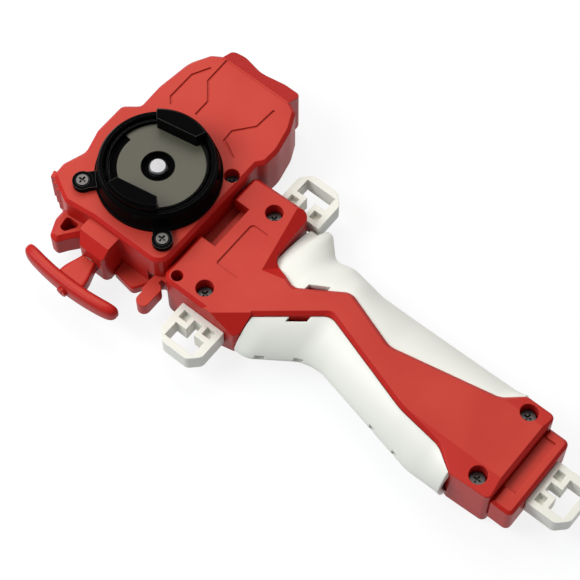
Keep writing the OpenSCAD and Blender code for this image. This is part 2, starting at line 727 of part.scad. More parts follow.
module launcher_back_case() {
    inner = rounded(inset(case_corners(), case_wall));
    low_inner = rounded(inset(case_corners(), foot_bevel + 0.7));
    color(red) difference() {
        union() {
            difference() {
                case_outside_back();
                slab(inner, foot_bevel + 0.4, case_split + 1);
                slab(low_inner, case_floor_t, case_split);
                post([spool_x, spool_y], drum_r + flange_h + 0.5, flange_z - 0.5, case_split + 1);
            }
            post(front_screw, screw_r + 2, foot_bevel + 0.8, case_split);
            for (p = back_screws) post(p, boss_r, boss_low, case_split);
            post([spool_x, spool_y], arbor_r, boss_low, arbor_top);
            post(pivot, 3.6, boss_low, lever_z - seat_gap);
            block([lever_seat.x - 1.4, lever_seat.y, boss_low + 0.4], [lever_seat.x + 2.2, lever_seat.y + 2, lever_top]);
        }
        post([spool_x, spool_y], axle_r + 0.02, 1, arbor_top + 1);
        post(front_screw, pilot_r, foot_bevel + 2, case_split + 1);
        for (p = back_screws) {
            post(p, screw_r + 0.2, -1, case_split + 1);
            post(p, well_r, -1, well_d);
        }
        post(pivot, pivot_r + 0.02, 3, lever_z + 1);
        bar_x(-outlet_reach - 1, -outlet_reach + bush_len, outlet_y, outlet_z, 2.85);
        bar_x(-outlet_reach + bush_len - eps, -case_left + 6, outlet_y - 0.4, outlet_z, 2.4);
        post(pivot, 3.6 + lever_gap, lever_z - 0.3, lever_top + 0.3);
        block([-case_left - 3, -case_near - 1, lever_z - 0.3], [pivot.x - 3.2, arm_y + arm_w + 2.8, lever_top + 0.3]);
        block([pivot.x - 3.3, -case_near - 1, lever_z - 0.3], [pivot.x + 0.3, pivot.y + 3.1, lever_top + 0.3]);
        bracket_pocket();
    }
}

// Hollow in the side bracket
module bracket_pocket() {
    corners = [
        [-case_left - 1.6, outlet_y + outlet_w / 2 + 3.2, 1],
        [-case_left - 1.6, wing_far - 4.6, 1.2],
        [-bracket_reach + 4, wing_far - 5.4, 1.2],
        [-bracket_reach + 4, wing_far - 7.6, 0.8]];
    slab([for (p = rounded([for (i = [len(corners) - 1:-1:0]) corners[i]])) p], bracket_h - 7, bracket_h + 1);
}

// Wall of the collar: a conical outside with a stepped top rim
module launch_collar() {
    bore = rotor_r + head_gap;
    floor_z = case_h + collar_floor_t;
    color(black) difference() {
        union() {
            rotate_extrude() polygon([
                [shaft_r + run_gap, spigot_z], [spigot_r, spigot_z], [spigot_r, case_h], [collar_r, case_h],
                [collar_r, case_h + 1.6], [collar_r - 0.5, case_h + 2], [collar_top_r + 0.3, collar_top - 1.2],
                [collar_top_r - 0.5, collar_top], [bore + 0.5, collar_top], [bore, collar_top - 0.5],
                [bore, floor_z], [shaft_r + run_gap, floor_z]]);
            for (p = ear_places) {
                post(p, ear_r, case_h, case_h + 2.4);
                translate([0, 0, case_h]) rotate(atan2(p.y, p.x)) translate([collar_r - 2, 0.4 - ear_r, 0])
                    cube([norm(p) - collar_r + 2, 2 * ear_r - 0.8, 2.3]);
            }
        }
        for (p = ear_places) {
            post(p, screw_r + 0.2, case_h - 1, case_h + 3);
            post(p, ear_head_r + 0.25, case_h + 1.2, case_h + 3);
        }
    }
}

module collar_screws() {
    color(steel) for (p = ear_places) screw_down(p, case_h + 1.2, ear_screw_len, ear_head_r);
}

module case_screws() {
    color(steel) {
        screw_down(front_screw, front_well_z, front_well_z - foot_bevel - 3);
        for (p = back_screws)
            translate([0, 0, well_d]) mirror([0, 0, 1]) screw_down(p, 0, back_tip_z - well_d);
    }
}

// Wedge between the prong's two ends, beyond its inner face
module prong_wedge(inner, grow) {
    half = prong_span / 2 + grow;
    far = rotor_r + 8;
    for (turn = [0, 180])
        rotate(prong_turn + turn)
            polygon([[inner, -inner * tan(half)], [far, -far * tan(half)], [far, far * tan(half)],
                     [inner, inner * tan(half)]]);
}

module launch_rotor() {
    color(black) difference() {
        union() {
            rotate_extrude() polygon([
                [0, shaft_z], [shaft_end_r, shaft_z], [shaft_end_r, spigot_z - 0.2], [shaft_r, spigot_z - 0.2],
                [shaft_r, rotor_z], [rotor_r - 0.6, rotor_z], [rotor_r, rotor_z + 0.6], [rotor_r, rim_top - 0.4],
                [rotor_r - 0.4, rim_top], [rotor_r - 1, rim_top], [rotor_r - 1.2, rim_top - 0.4],
                [rotor_r - 1.2, rotor_top], [0, rotor_top]]);
            intersection() {
                translate([0, 0, rotor_top - eps]) linear_extrude(prong_top - rotor_top) prong_wedge(prong_inner, 0);
                rotate_extrude() polygon([
                    [prong_inner - 2, rotor_top - eps], [rotor_r - 0.1, rotor_top - eps],
                    [rotor_r - 0.1, prong_step], [prong_outer, prong_step + 0.6], [prong_outer, prong_top - 1],
                    [prong_outer - 1, prong_top], [prong_inner - 2, prong_top]]);
            }
        }
        drum_of(plate_hole_r, rotor_z + 1, rotor_top + 1);
        drum_of(pin_r + run_gap, guide_z - 1, rotor_top);
        drum_of(chamber_r, shaft_z - 1, guide_z);
        for (z = [clip_z, shaft_z + 0.5])
            translate([0, 0, z]) rotate_extrude()
                polygon([[shaft_end_r - 0.7, 0], [shaft_end_r + 1, 0], [shaft_end_r + 1, clip_t], [shaft_end_r - 0.7, clip_t]]);
    }
}

// Ledge of the rotor that stays bare beside the floor plate
ledge_from = 82;
ledge_span = 84;
module rotor_floor_plate() {
    color([0.42, 0.42, 0.36]) difference() {
        drum_of(rotor_r - 1.3, rotor_top, rotor_top + plate_t);
        drum_of(plate_hole_r, rotor_top - 1, rotor_top + 1 + plate_t);
        translate([0, 0, rotor_top - 1]) linear_extrude(plate_t + 2) prong_wedge(prong_inner - 0.15, 0.6);
        difference() {
            slab(concat([[0, 0]], [for (a = [0:8]) 2 * rotor_r * [cos(ledge_from + ledge_span * a / 8), sin(ledge_from + ledge_span * a / 8)]]),
                 rotor_top - 1, rotor_top + plate_t + 1);
            drum_of(rotor_r - ledge_w, rotor_top - 2, rotor_top + plate_t + 2);
        }
    }
}

pin_flange_t = 1.6;
pin_flange_z = guide_z - pin_flange_t - seat_gap;
module centre_pin() {
    color(steel) rotate_extrude() polygon([
        [0, pin_flange_z], [chamber_r - 0.1, pin_flange_z], [chamber_r - 0.1, pin_flange_z + pin_flange_t],
        [pin_r, pin_flange_z + pin_flange_t], [pin_r, pin_top - 0.5], [pin_r - 0.5, pin_top], [0, pin_top]]);
}

wire_r = 0.25;
pin_spring_z = shaft_z + 1.6 + seat_t;
pin_coil = coil(chamber_r - wire_r - 0.3, pin_spring_z + wire_r + 0.05,
                (pin_flange_z - pin_spring_z - 2 * wire_r - 0.1) / 5, 5, 12, 0);
module pin_spring() {
    color(steel) tube(pin_coil, wire_r, 6);
}

module pin_spring_seat() {
    color(natural) drum_of(chamber_r - 0.02, pin_spring_z - seat_t, pin_spring_z);
}

// Open clips in the shaft's two grooves
module rotor_clips() {
    color(steel) for (z = [clip_z, shaft_z + 0.5])
        difference() {
            drum_of(shaft_end_r + 1.6, z + 0.02, z + clip_t - 0.02);
            drum_of(shaft_end_r - 0.65, z - 1, z + 2);
            block([0, -2.4, z - 1], [2 * shaft_end_r, 2.4, z + 2]);
        }
}

// Ratchet notches inside the pinion, one side of each steep
ratchet_r = shaft_end_r + 2.2;
ratchet_teeth = 12;
pinion_z = gear_z + 0.1;
pinion_top = clip_z - 0.15;
clutch_z = gear_top - 0.4;
function ratchet_points(grow) = [
    for (k = [0:ratchet_teeth - 1], s = [0, 1])
        let (a = 360 * (k + (s == 0 ? 0.08 : 0.92)) / ratchet_teeth, r = ratchet_r + grow + (s == 0 ? 0.9 : 0))
        r * [cos(a), sin(a)]];

module drive_pinion() {
    color(natural) difference() {
        union() {
            slab(gear_points(pinion_teeth, spool_dir + 180 / pinion_teeth), pinion_z, gear_top - 0.1);
            drum_of(pinion_pitch_r - 1.3 * gear_module, gear_top - 0.2, pinion_top);
        }
        drum_of(shaft_end_r + run_gap, pinion_z - 1, pinion_top + 1);
        slab(ratchet_points(0), clutch_z, pinion_top + 1);
    }
}

// Ring on the shaft with two springy arms that reach into the ratchet notches
module clutch_pawl_ring() {
    pitch = 360 / ratchet_teeth;
    color(natural) difference() {
        union() {
            drum_of(ratchet_r - 0.9, clutch_z + 0.1, pinion_top);
            for (turn = [0, 180])
                translate([0, 0, clutch_z + 0.1]) linear_extrude(pinion_top - clutch_z - 0.1)
                    polygon([
                        (ratchet_r - 1.2) * [cos(turn + 0.2 * pitch), sin(turn + 0.2 * pitch)],
                        (ratchet_r + 0.55) * [cos(turn + 0.2 * pitch), sin(turn + 0.2 * pitch)],
                        (ratchet_r + 0.1) * [cos(turn + 0.55 * pitch), sin(turn + 0.55 * pitch)],
                        (ratchet_r - 1.2) * [cos(turn + 1.4 * pitch), sin(turn + 1.4 * pitch)]]);
        }
        drum_of(shaft_end_r + 0.02, clutch_z - 1, pinion_top + 1);
    }
}

module string_spool() {
    color(natural) translate([spool_x, spool_y, 0]) difference() {
        union() {
            drum_of(drum_r + flange_h, flange_z, drum_z);
            drum_of(drum_r, flange_z, gear_z + eps);
            slab(gear_points(spool_teeth, spool_dir + 180), gear_z, gear_top);
            drum_of(arbor_r + 1, gear_z, hub_top);
        }
        drum_of(hollow_r, flange_z - 1, web_z);
        drum_of(axle_r + run_gap, flange_z, hub_top + 1);
        for (k = [0:4]) rotate(72 * k) post([hollow_r - 2.4, 0], 1.6, web_z - 1, hub_top + 1);
    }
}

module spool_axle() {
    color(steel) post([spool_x, spool_y], axle_r, 1, cavity_top - seat_gap);
}

module spool_washer() {
    color(steel) difference() {
        post([spool_x, spool_y], arbor_r, hub_top + 0.1, hub_top + 0.7);
        post([spool_x, spool_y], axle_r + run_gap, hub_top - 1, hub_top + 2);
    }
}

// Flat spiral strip between the fixed arbor and the drum's wall
spring_in = arbor_r + strip_t / 2 + 0.1;
spring_out = hollow_r - strip_t / 2 - 0.15;
function spiral(offset) = [
    for (i = [0:24 * strip_turns])
        let (t = i / (24 * strip_turns), r = spring_in + (spring_out - spring_in) * t + offset)
        r * [cos(360 * strip_turns * t), sin(360 * strip_turns * t)]];
module mainspring() {
    outer = spiral(strip_t / 2);
    inner = spiral(-strip_t / 2);
    color(steel) translate([spool_x, spool_y, 0])
        slab(concat(outer, [for (i = [len(inner) - 1:-1:0]) inner[i]]), drum_z + 0.2, web_z - 0.4);
}

module mainspring_cover() {
    color(natural) difference() {
        post([spool_x, spool_y], hollow_r - 0.03, flange_z, flange_z + 1);
        post([spool_x, spool_y], arbor_r + 0.4, flange_z - 1, flange_z + 3);
    }
}

// String wound on the drum, ending where the run leaves it
winding = [
    for (p = coil(wound_r, wound_high, -wound_pitch, wound_turns, 24, leave_turn))
        p + [spool_x, spool_y, 0]];
module string_winding() {
    color("whitesmoke") tube(winding, cord_d / 2, 6);
}

run_path = [
    [knot_x, outlet_y, outlet_z],
    bend_from - [2, 0, 0],
    bend_from + [0.8, -0.06, 0],
    leave_point + 0.02 * (bend_from - leave_point),
    leave_point + 0.008 * (bend_from - leave_point)];
module string_run() {
    color("whitesmoke") tube(run_path, cord_d / 2, 8);
}

module string_knot() {
    color("whitesmoke") difference() {
        translate([knot_x, outlet_y, outlet_z]) sphere(r = cord_d * 1.1);
        translate([knot_x, outlet_y - 5, outlet_z - 5]) cube(10);
    }
}

module outlet_bush() {
    color(natural) translate([-outlet_reach, outlet_y, outlet_z]) rotate([0, 90, 0]) rotate_extrude() polygon([
        [cord_d / 2 + 0.8, 0], [2.82, 0], [2.82, bush_len], [cord_d / 2 + 0.8, bush_len],
        [cord_d / 2 + 0.35, bush_len - 1], [cord_d / 2 + 0.35, 1]]);
}

neck_x = -outlet_reach - 0.2;
bar_x0 = neck_x - neck_len - bar_t;
module pull_handle() {
    half = bar_h / 2;
    bow = [bar_x0 + bar_bow_r, outlet_y];
    tip_back = bar_bow_r - sqrt(bar_bow_r * bar_bow_r - bar_len * bar_len / 4) - 0.15;
    color(red) difference() {
        union() {
            intersection() {
                difference() {
                    post(bow, bar_bow_r, outlet_z - half, outlet_z + half);
                    post(bow, bar_bow_r - bar_t, outlet_z - half - 1, outlet_z + half + 1);
                }
                translate([0, outlet_y, 0]) rotate([90, 0, 90]) translate([0, 0, bar_x0 - 1]) linear_extrude(2 * bar_t + 2)
                    polygon(rounded([
                        [-bar_len / 2, outlet_z - half + 0.8, 2.4], [-bar_len / 2 + 6, outlet_z - half, 4],
                        [bar_len / 2 - 6, outlet_z - half, 4], [bar_len / 2, outlet_z - half + 0.8, 2.4],
                        [bar_len / 2, outlet_z + half - 0.8, 2.4], [bar_len / 2 - 6, outlet_z + half, 4],
                        [-bar_len / 2 + 6, outlet_z + half, 4], [-bar_len / 2, outlet_z + half - 0.8, 2.4]]));
                slab(rounded([
                    [bar_x0 - 0.5, outlet_y - 10, 5], [bar_x0 + tip_back, outlet_y - bar_len / 2 - 0.1, 2],
                    [bar_x0 + tip_back + bar_t + 0.3, outlet_y - bar_len / 2 - 0.1, 2],
                    [bar_x0 + tip_back + bar_t + 0.3, outlet_y + bar_len / 2 + 0.1, 2],
                    [bar_x0 + tip_back, outlet_y + bar_len / 2 + 0.1, 2], [bar_x0 - 0.5, outlet_y + 10, 5]]),
                    outlet_z - half - 1, outlet_z + half + 1);
            }
            slab([
                [neck_x, outlet_y - neck_w_case / 2], [neck_x, outlet_y + neck_w_case / 2],
                [neck_x - 3, outlet_y + neck_w_case / 2 + 0.2], [neck_x - neck_len - 0.4, outlet_y + neck_w_bar / 2],
                [neck_x - neck_len - 0.4, outlet_y - neck_w_bar / 2], [neck_x - 3, outlet_y - neck_w_case / 2 - 0.2]],
                outlet_z - half + neck_step, outlet_z + half - neck_step);
        }
        bar_x(bar_x0 - 1, neck_x + 1, outlet_y, outlet_z, cord_d / 2 + 0.2);
        bar_x(bar_x0 - 1, knot_x + 0.2, outlet_y, outlet_z, 1.9);
    }
}

module handle_plug() {
    color(red) difference() {
        bar_x(bar_x0 - 0.9, bar_x0 + 1, outlet_y, outlet_z, 1.88);
        translate([bar_x0 - 2, outlet_y - 0.2, outlet_z - 1]) cube([1.6, 0.4, 2]);
    }
}

// Catch on the lever that holds the grip, with room g around it
nose_x = -24.4;
nose_w = 2.4;
nose_d = 1;
module lever_nose(g) {
    polygon([
        [nose_x - g, arm_y + 1], [nose_x - g, block_y - nose_d - g], [nose_x + nose_w - 1 + g, block_y - nose_d - g],
        [nose_x + nose_w + g, arm_y + 1]]);
}

module release_lever() {
    color(red) difference() {
        union() {
            lever_arm();
            translate([0, 0, lever_z]) linear_extrude(lever_h) lever_nose(0);
            for (x = [-paddle_reach + paddle_w / 2, -paddle_reach + paddle_len - paddle_w / 2])
                post([x, paddle_y], paddle_w / 2, lever_z, lever_top);
            block([-paddle_reach + paddle_w / 2, paddle_y - paddle_w / 2, lever_z],
                  [-paddle_reach + paddle_len - paddle_w / 2, paddle_y + paddle_w / 2, lever_top]);
        }
        post(pivot, pivot_r + run_gap, lever_z - 1, lever_top + 1);
    }
}

module lever_pin() {
    color(steel) post(pivot, pivot_r, 3, case_split - 0.3);
}

lever_coil = [
    for (p = coil(1.4, 0.35, (3.6 - 0.7) / 3, 3, 10, 0))
        [lever_seat.x + p.x, lever_seat.y - p.z, (lever_z + lever_top) / 2 + p.y]];
module lever_spring() {
    color(steel) tube(lever_coil, wire_r, 6);
}

module grip_bosses(front) {
    for (p = concat(block_screws, end_screws))
        post(grip_place(p), front ? well_r + 1.3 : screw_r + 2.2, front ? grip_mid : 1.2, front ? grip_h - 1.2 : grip_mid);
}

// Slot in the head block for the launcher's rail, open towards the rear
module rail_slot() {
    g = rail_gap;
    right = grip_axis + block_right + 5;
    block([rail_left - g, -case_near - rail_neck_d - g, grip_mid - rail_neck_h / 2 - g],
          [right, -case_near + 1, grip_mid + rail_neck_h / 2 + g]);
    block([rail_left - g, -case_near - rail_neck_d - rail_head_d - g, grip_mid - rail_head_h / 2 - g],
          [right, -case_near - rail_neck_d + g, grip_mid + rail_head_h / 2 + g]);
    translate([0, 0, lever_z - 0.3]) linear_extrude(lever_h + 0.6) lever_nose(lever_gap);
}

// Sockets for the loops' tongues
tongue_w = 4.6;
tongue_len = 3.4;
tongue_h = 4.4;
socket_gap = 0.1;
loop_v = loop_at;
module loop_sockets(g) {
    for (side = [-1, 1])
        let (edge = grip_axis + (side < 0 ? -block_left : block_right))
        block([edge - (side < 0 ? 1 : tongue_len + g), block_y - loop_v - tongue_w / 2 - g, grip_mid - tongue_h / 2 - g],
              [edge + (side < 0 ? tongue_len + g : 1), block_y - loop_v + tongue_w / 2 + g, grip_mid + tongue_h / 2 + g]);
}

// Hollow of the shells beyond the head block's solid front
module grip_hollow(z0, z1) {
    intersection() {
        slab(rounded(inset(grip_corners(), grip_wall)), z0, z1);
        block([grip_axis - 60, block_y - grip_len, z0], [grip_axis + 60, block_y - notch_d - 2.2, z1]);
    }
}

// Tray around the loop tongues inside the shells
module tongue_walls(z0, z1) {
    for (side = [-1, 1])
        let (edge = grip_axis + (side < 0 ? -block_left + grip_wall - 0.5 : block_right - grip_wall + 0.5))
        block([edge - (side < 0 ? 0 : 4.5), block_y - loop_v - tongue_w / 2 - 2, z0],
              [edge + (side < 0 ? 4.5 : 0), block_y - loop_v + tongue_w / 2 + 2, z1]);
}

// Sloping shoulder of the head block above the finger pad
shoulder = 9.4;
module block_shoulder() {
    from = grip_place(finger_edge[0]);
    along = grip_place(finger_edge[1]) - from;
    intersection() {
        slab([for (p = [
            [-block_left, block_left_len - 4], [-block_left, block_left_len + shoulder - 1.4],
            [-block_left + 1.5, block_left_len + shoulder], [-block_left + 8, block_left_len + shoulder],
            [-block_left + 11, block_left_len + 6]]) grip_place(p)], grip_mid, grip_h);
        translate([from.x, from.y, grip_h - 0.6]) rotate(atan2(along.y, along.x)) rotate([42, 0, 0])
            translate([-20, -40, -40]) cube([60, 80, 40]);
    }
}

// Long bevel along the head block's edge above the palm pad
band_tilt = 32;
band_from = [block_right - 3.6, block_right_len - 3.7];
band_turn = [-1.1, block_right_len + 1.1];
band_to = [waist_right - 9.5, waist_at - 16.4];
module block_band() {
    intersection() {
        band_slope(band_from, band_turn, 30);
        band_slope(band_turn, band_to, 0);
    }
}

// Space above a plane that falls away from the line between two places of the grip
module band_slope(p, q, beyond) {
    from = grip_place(p);
    along = grip_place(q) - from;
    translate([from.x, from.y, grip_h]) rotate(atan2(along.y, along.x)) translate([-12, 0, 0])
        rotate([-band_tilt, 0, 0]) cube([12 + norm(along) + beyond, 45, 40]);
}

// Thicker face below the long bevel
module band_backing() {
    hull() for (p = [[block_right - 3.6, block_right_len - 3.2], [3, block_right_len - 1]])
        post(grip_place(p), 2.2, grip_h - 5, grip_h - 0.9);
}

// Facets that fall away beside the end block's raised panel
facet_tilt = 8;
module end_facets() {
    for (side = [-1, 1])
        translate([grip_axis + (side < 0 ? 7.7 - end_half_w : end_half_w - 5.7), cap_y - 1, grip_h])
            rotate([0, side * facet_tilt, 0]) translate([side < 0 ? -30 : 0, 0, 0]) cube([30, 60, 10]);
}

plate_corners = [
    [-11.6 + 3.3, 10.7, 0.6], [10, 10.7, 1.6], [10, 17.6, 1.6], [5.5, 19.6, 1.6], [-11.6 + 3.3, 19.6, 0.6]];
module grip_front_shell() {
    color(red) difference() {
        union() {
            difference() {
                bevelled(grip_corners(), grip_mid, grip_h, 0, grip_bevel);
                grip_hollow(grip_mid - 1, grip_h - grip_face_t);
            }
            block_shoulder();
            intersection() {
                slab(rounded(inset(grip_corners(), 1)), grip_mid, grip_h - 1);
                union() {
                    grip_bosses(true);
                    tongue_walls(grip_mid, grip_mid + tongue_h / 2 + 2);
                    band_backing();
                }
            }
        }
        rail_slot();
        loop_sockets(socket_gap);
        cap_socket();
        block([grip_axis + 4.7 - notch_w / 2, block_y - notch_d, grip_mid], [grip_axis + 4.7 + notch_w / 2, block_y + 1, grip_h + 1]);
        for (p = concat(block_screws, end_screws)) {
            post(grip_place(p), well_r, grip_h - well_d, grip_h + 1);
            post(grip_place(p), screw_r + 0.2, grip_mid - 1, grip_h - well_d + 1);
        }
        post(grip_place(peg_place), peg_r, grip_h - peg_d, grip_h + 1);
        block_band();
        end_facets();
        slab([for (p = rounded([for (c = plate_corners) grip_corner(c)])) p], grip_h - 0.5, grip_h + 1);
    }
}

module grip_back_shell() {
    color(red) difference() {
        union() {
            difference() {
                bevelled(grip_corners(), 0, grip_mid, grip_bevel, 0);
                grip_hollow(grip_face_t, grip_mid + 1);
            }
            underside() block_shoulder();
            intersection() {
                slab(rounded(inset(grip_corners(), 1)), 1, grip_mid);
                union() {
                    grip_bosses(false);
                    tongue_walls(grip_mid - tongue_h / 2 - 2, grip_mid);
                }
            }
        }
        rail_slot();
        loop_sockets(socket_gap);
        cap_socket();
        for (p = concat(block_screws, end_screws)) post(grip_place(p), pilot_r, 3, grip_mid + 1);
    }
}

// Pad section at distance v along the grip: an outer and an inner quarter, rounder as fullness grows
function pad_section(v, edge, bulge, side, fullness, dip) =
    let (u0 = lookup(v, edge) + side * pad_gap, u1 = lookup(v, bulge), w = max(abs(u1 - u0), 0.8))
    let (h = grip_mid - pad_drop - lookup(v, dip), wi = max(w - pad_wall, 0.3), hi = h - pad_wall, steps = 7, e = 2 / fullness)
    concat(
        [for (k = [0:steps]) let (a = 90 * k / steps)
            [u0 + side * w * pow(sin(a), e), v, grip_mid + h * pow(cos(a), e)]],
        [for (k = [steps:-1:0]) let (a = 90 * k / steps)
            [u0 + side * wi * pow(sin(a), e), v, grip_mid + hi * pow(cos(a), e)]]);

// Stations along a pad: counts[i] equal steps from each knot to the next
function stations(knots, counts) = concat(
    [for (i = [0:len(counts) - 1], k = [0:counts[i] - 1]) knots[i] + (knots[i + 1] - knots[i]) * k / counts[i]],
    [knots[len(knots) - 1]]);

module pad(edge, bulge, side, places, fullness, dip) {
    n = len(places) - 1;
    rings = [
        for (v = places)
            [for (p = pad_section(v, edge, bulge, side, fullness, dip)) [grip_axis + p.x, block_y - p.y, p.z]]];
    sides = len(rings[0]);
    near = [
        for (k = [0:sides / 2 - 2], half = [0, 1])
            half == 0 ? [k, k + 1, sides - 1 - k] : [k + 1, sides - 2 - k, sides - 1 - k]];
    far = [for (f = turned(near)) [for (k = f) k + n * sides]];
    faces = concat(near, side_faces(n + 1, sides), far);
    polyhedron(rings_points(rings), side > 0 ? faces : turned(faces));
}

seam_holes = [waist_at - 11.2, waist_at - 0.9, waist_at + 31.8, waist_at + 42.2];
// Slot in a pad's inner edge for a catch, from a to b along the line between two corners of the grip
snap_d = 1.4;
module snap_slot(p, q, a, b, side) {
    from = grip_place(p);
    along = grip_place(q) - from;
    translate([from.x, from.y, grip_mid + 5]) rotate(atan2(along.y, along.x))
        translate([a, side > 0 ? -1 : -snap_d, 0]) cube([b - a, snap_d + 1, 10]);
}

module finger_pad() {
    difference() {
        pad(finger_line, finger_bulge, -1,
            stations([block_left_len + shoulder + 0.3, waist_at - 8, waist_at + 6, grip_len - end_len - 4.2],
                     [5, 8, 15]), 1.4, [[0, 0], [grip_len, 0]]);
        for (v = seam_holes)
            let (u = lookup(v, finger_bulge))
            block(concat(grip_place([u - 1, v + 1.4]), grip_mid - 0.1), concat(grip_place([u + 3, v - 1.4]), grip_mid + 1));
        snap_slot(finger_edge[0], finger_edge[1], 24.2, 31.2, -1);
    }
}

module palm_pad() {
    loop_low = loop_at + loop_w / 2;
    difference() {
        pad(palm_line, palm_bulge, 1,
            stations([block_right_len + 1.5, loop_low + 0.3, loop_low + 5.6, waist_at - 11.8, waist_at - 3.5,
                      waist_at + 3.5, grip_len - end_len - 0.6], [3, 4, 8, 6, 8, 12]), 1.6,
            [[block_right_len + 1.5, 1.8], [waist_at - 14, 0], [grip_len, 0]]);
        snap_slot(palm_edge[4], palm_edge[3], 3.6, 10.6, 1);
    }
}

module underside() {
    translate([0, 0, grip_h]) mirror([0, 0, 1]) children();
}

module finger_pad_front() {
    color(ivory) finger_pad();
}

module finger_pad_back() {
    color(ivory) underside() finger_pad();
}

module palm_pad_front() {
    color(ivory) palm_pad();
}

module palm_pad_back() {
    color(ivory) underside() palm_pad();
}

module grip_screws() {
    color(steel) for (p = concat(block_screws, end_screws))
        screw_down(grip_place(p), grip_h - well_d, grip_h - well_d - 4);
}

// Cap at the end of the grip, with its tenon between the shells
tenon_d = 3;
tenon_h = 8;
cap_y = block_y - grip_len;
module cap_socket() {
    block([grip_axis - cap_w / 2 + 4 - 0.1, cap_y - 1, grip_mid - tenon_h / 2 - 0.1],
          [grip_axis + cap_w / 2 - 4 + 0.1, cap_y + tenon_d + 0.1, grip_mid + tenon_h / 2 + 0.1]);
}

cap_shift = 0.9;
cap_corners = [
    [grip_axis - cap_shift - cap_w / 2, cap_y - 0.1, 0.5], [grip_axis - cap_shift - cap_w / 2, cap_y - cap_len, 2],
    [grip_axis - cap_shift + cap_w / 2, cap_y - cap_len, 2], [grip_axis - cap_shift + cap_w / 2, cap_y - 0.1, 0.5]];
module end_cap() {
    low = grip_h - cap_h;
    color(red) difference() {
        union() {
            bevelled(cap_corners, low, cap_h, 1, 1);
            block([grip_axis - cap_w / 2 + 4, cap_y - 1, grip_mid - tenon_h / 2],
                  [grip_axis + cap_w / 2 - 4, cap_y + tenon_d, grip_mid + tenon_h / 2]);
        }
        block([grip_axis - 9.6, cap_y - cap_len + 3.2, cap_h - 0.8], [grip_axis + 11.4, cap_y + 0.5, cap_h + 1]);
        block([grip_axis - tongue_w / 2 - 0.1, cap_y - cap_len - 1, grip_mid - tongue_h / 2 - 0.1],
              [grip_axis + tongue_w / 2 + 0.1, cap_y - cap_len + tongue_len + 0.1, grip_mid + tongue_h / 2 + 0.1]);
    }
}

// Strap loop in its own frame: x outwards from the wall it stands on, y across
module strap_loop() {
    half = loop_w / 2;
    slot_x = loop_len - 2.4 - slot_len;
    color(ivory) translate([0, 0, grip_mid]) difference() {
        union() {
            translate([0, 0, -loop_t / 2]) linear_extrude(loop_t)
                polygon(rounded([
                    [0.1, -half, 0.5], [loop_len - 3.6, -half, 2.5], [loop_len, -half + 3.6, 2.5],
                    [loop_len, half - 3.6, 2.5], [loop_len - 3.6, half, 2.5], [0.1, half, 0.5]]));
            block([-tongue_len, -tongue_w / 2, -tongue_h / 2], [1, tongue_w / 2, tongue_h / 2]);
        }
        block([slot_x, -slot_w / 2, -loop_t], [slot_x + slot_len, slot_w / 2, loop_t]);
        block([2.6, -1.6, -loop_t], [slot_x + 1, 1.6, loop_t]);
        for (side = [-1, 1], up = [-1, 1])
            block([1.8, side * half * 0.56 - 1.6, up > 0 ? loop_t / 2 - 2.4 : -loop_t / 2 - 1],
                  [4.8, side * half * 0.56 + 1.6, up > 0 ? loop_t / 2 + 1 : -loop_t / 2 + 2.4]);
    }
}

module strap_loop_left() {
    translate([grip_axis - block_left, block_y - loop_v, 0]) rotate(180) strap_loop();
}

module strap_loop_right() {
    translate([grip_axis + block_right, block_y - loop_v, 0]) strap_loop();
}

module strap_loop_end() {
    translate([grip_axis, cap_y - cap_len, 0]) rotate(-90) strap_loop();
}

echo(least_gap_of_winding = least_gap(winding, cord_d, 12));
echo(least_gap_of_pin_spring = least_gap(pin_coil, 2 * wire_r, 6));
echo(least_gap_of_lever_spring = least_gap(lever_coil, 2 * wire_r, 5));

launcher_front_case();
launcher_back_case();
launch_collar();
collar_screws();
case_screws();
launch_rotor();
rotor_floor_plate();
centre_pin();
pin_spring();
pin_spring_seat();
rotor_clips();
drive_pinion();
clutch_pawl_ring();
string_spool();
spool_axle();
spool_washer();
mainspring();
mainspring_cover();
string_winding();
string_run();
string_knot();
outlet_bush();
pull_handle();
handle_plug();
release_lever();
lever_pin();
lever_spring();
grip_front_shell();
grip_back_shell();
finger_pad_front();
finger_pad_back();
palm_pad_front();
palm_pad_back();
grip_screws();
end_cap();
strap_loop_left();
strap_loop_right();
strap_loop_end();
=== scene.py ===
# %% [markdown]
# # A hand-held launcher for spinning tops
# A red string-pull launcher is clipped to a pistol-type grip. The solids of the mechanism come
# from the CAD frame, in metres, and this notebook gives them their looks: softened edges, moulded
# plastic, steel and string. Pieces that are soft, wound or smoothly swept are worked out again
# here with numpy, because a formula gives a smoother surface than the frame's facets.

# %% Loading the frame
import json

import bpy
import numpy as np
from mathutils import Matrix, Vector


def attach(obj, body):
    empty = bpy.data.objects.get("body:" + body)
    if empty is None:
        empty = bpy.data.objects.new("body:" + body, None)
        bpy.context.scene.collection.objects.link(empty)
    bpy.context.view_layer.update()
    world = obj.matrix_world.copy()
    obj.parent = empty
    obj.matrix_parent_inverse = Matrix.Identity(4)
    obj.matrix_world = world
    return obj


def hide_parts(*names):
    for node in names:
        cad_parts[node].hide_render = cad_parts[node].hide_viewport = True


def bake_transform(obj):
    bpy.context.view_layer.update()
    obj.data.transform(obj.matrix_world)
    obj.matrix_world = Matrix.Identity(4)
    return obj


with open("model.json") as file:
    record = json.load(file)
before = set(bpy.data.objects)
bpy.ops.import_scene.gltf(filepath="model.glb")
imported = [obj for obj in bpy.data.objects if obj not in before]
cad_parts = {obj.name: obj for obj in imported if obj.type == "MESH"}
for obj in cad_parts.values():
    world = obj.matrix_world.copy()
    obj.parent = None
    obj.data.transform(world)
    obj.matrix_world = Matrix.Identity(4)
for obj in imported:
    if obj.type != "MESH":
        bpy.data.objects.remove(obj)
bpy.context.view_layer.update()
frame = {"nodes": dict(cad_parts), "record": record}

MM = 0.001

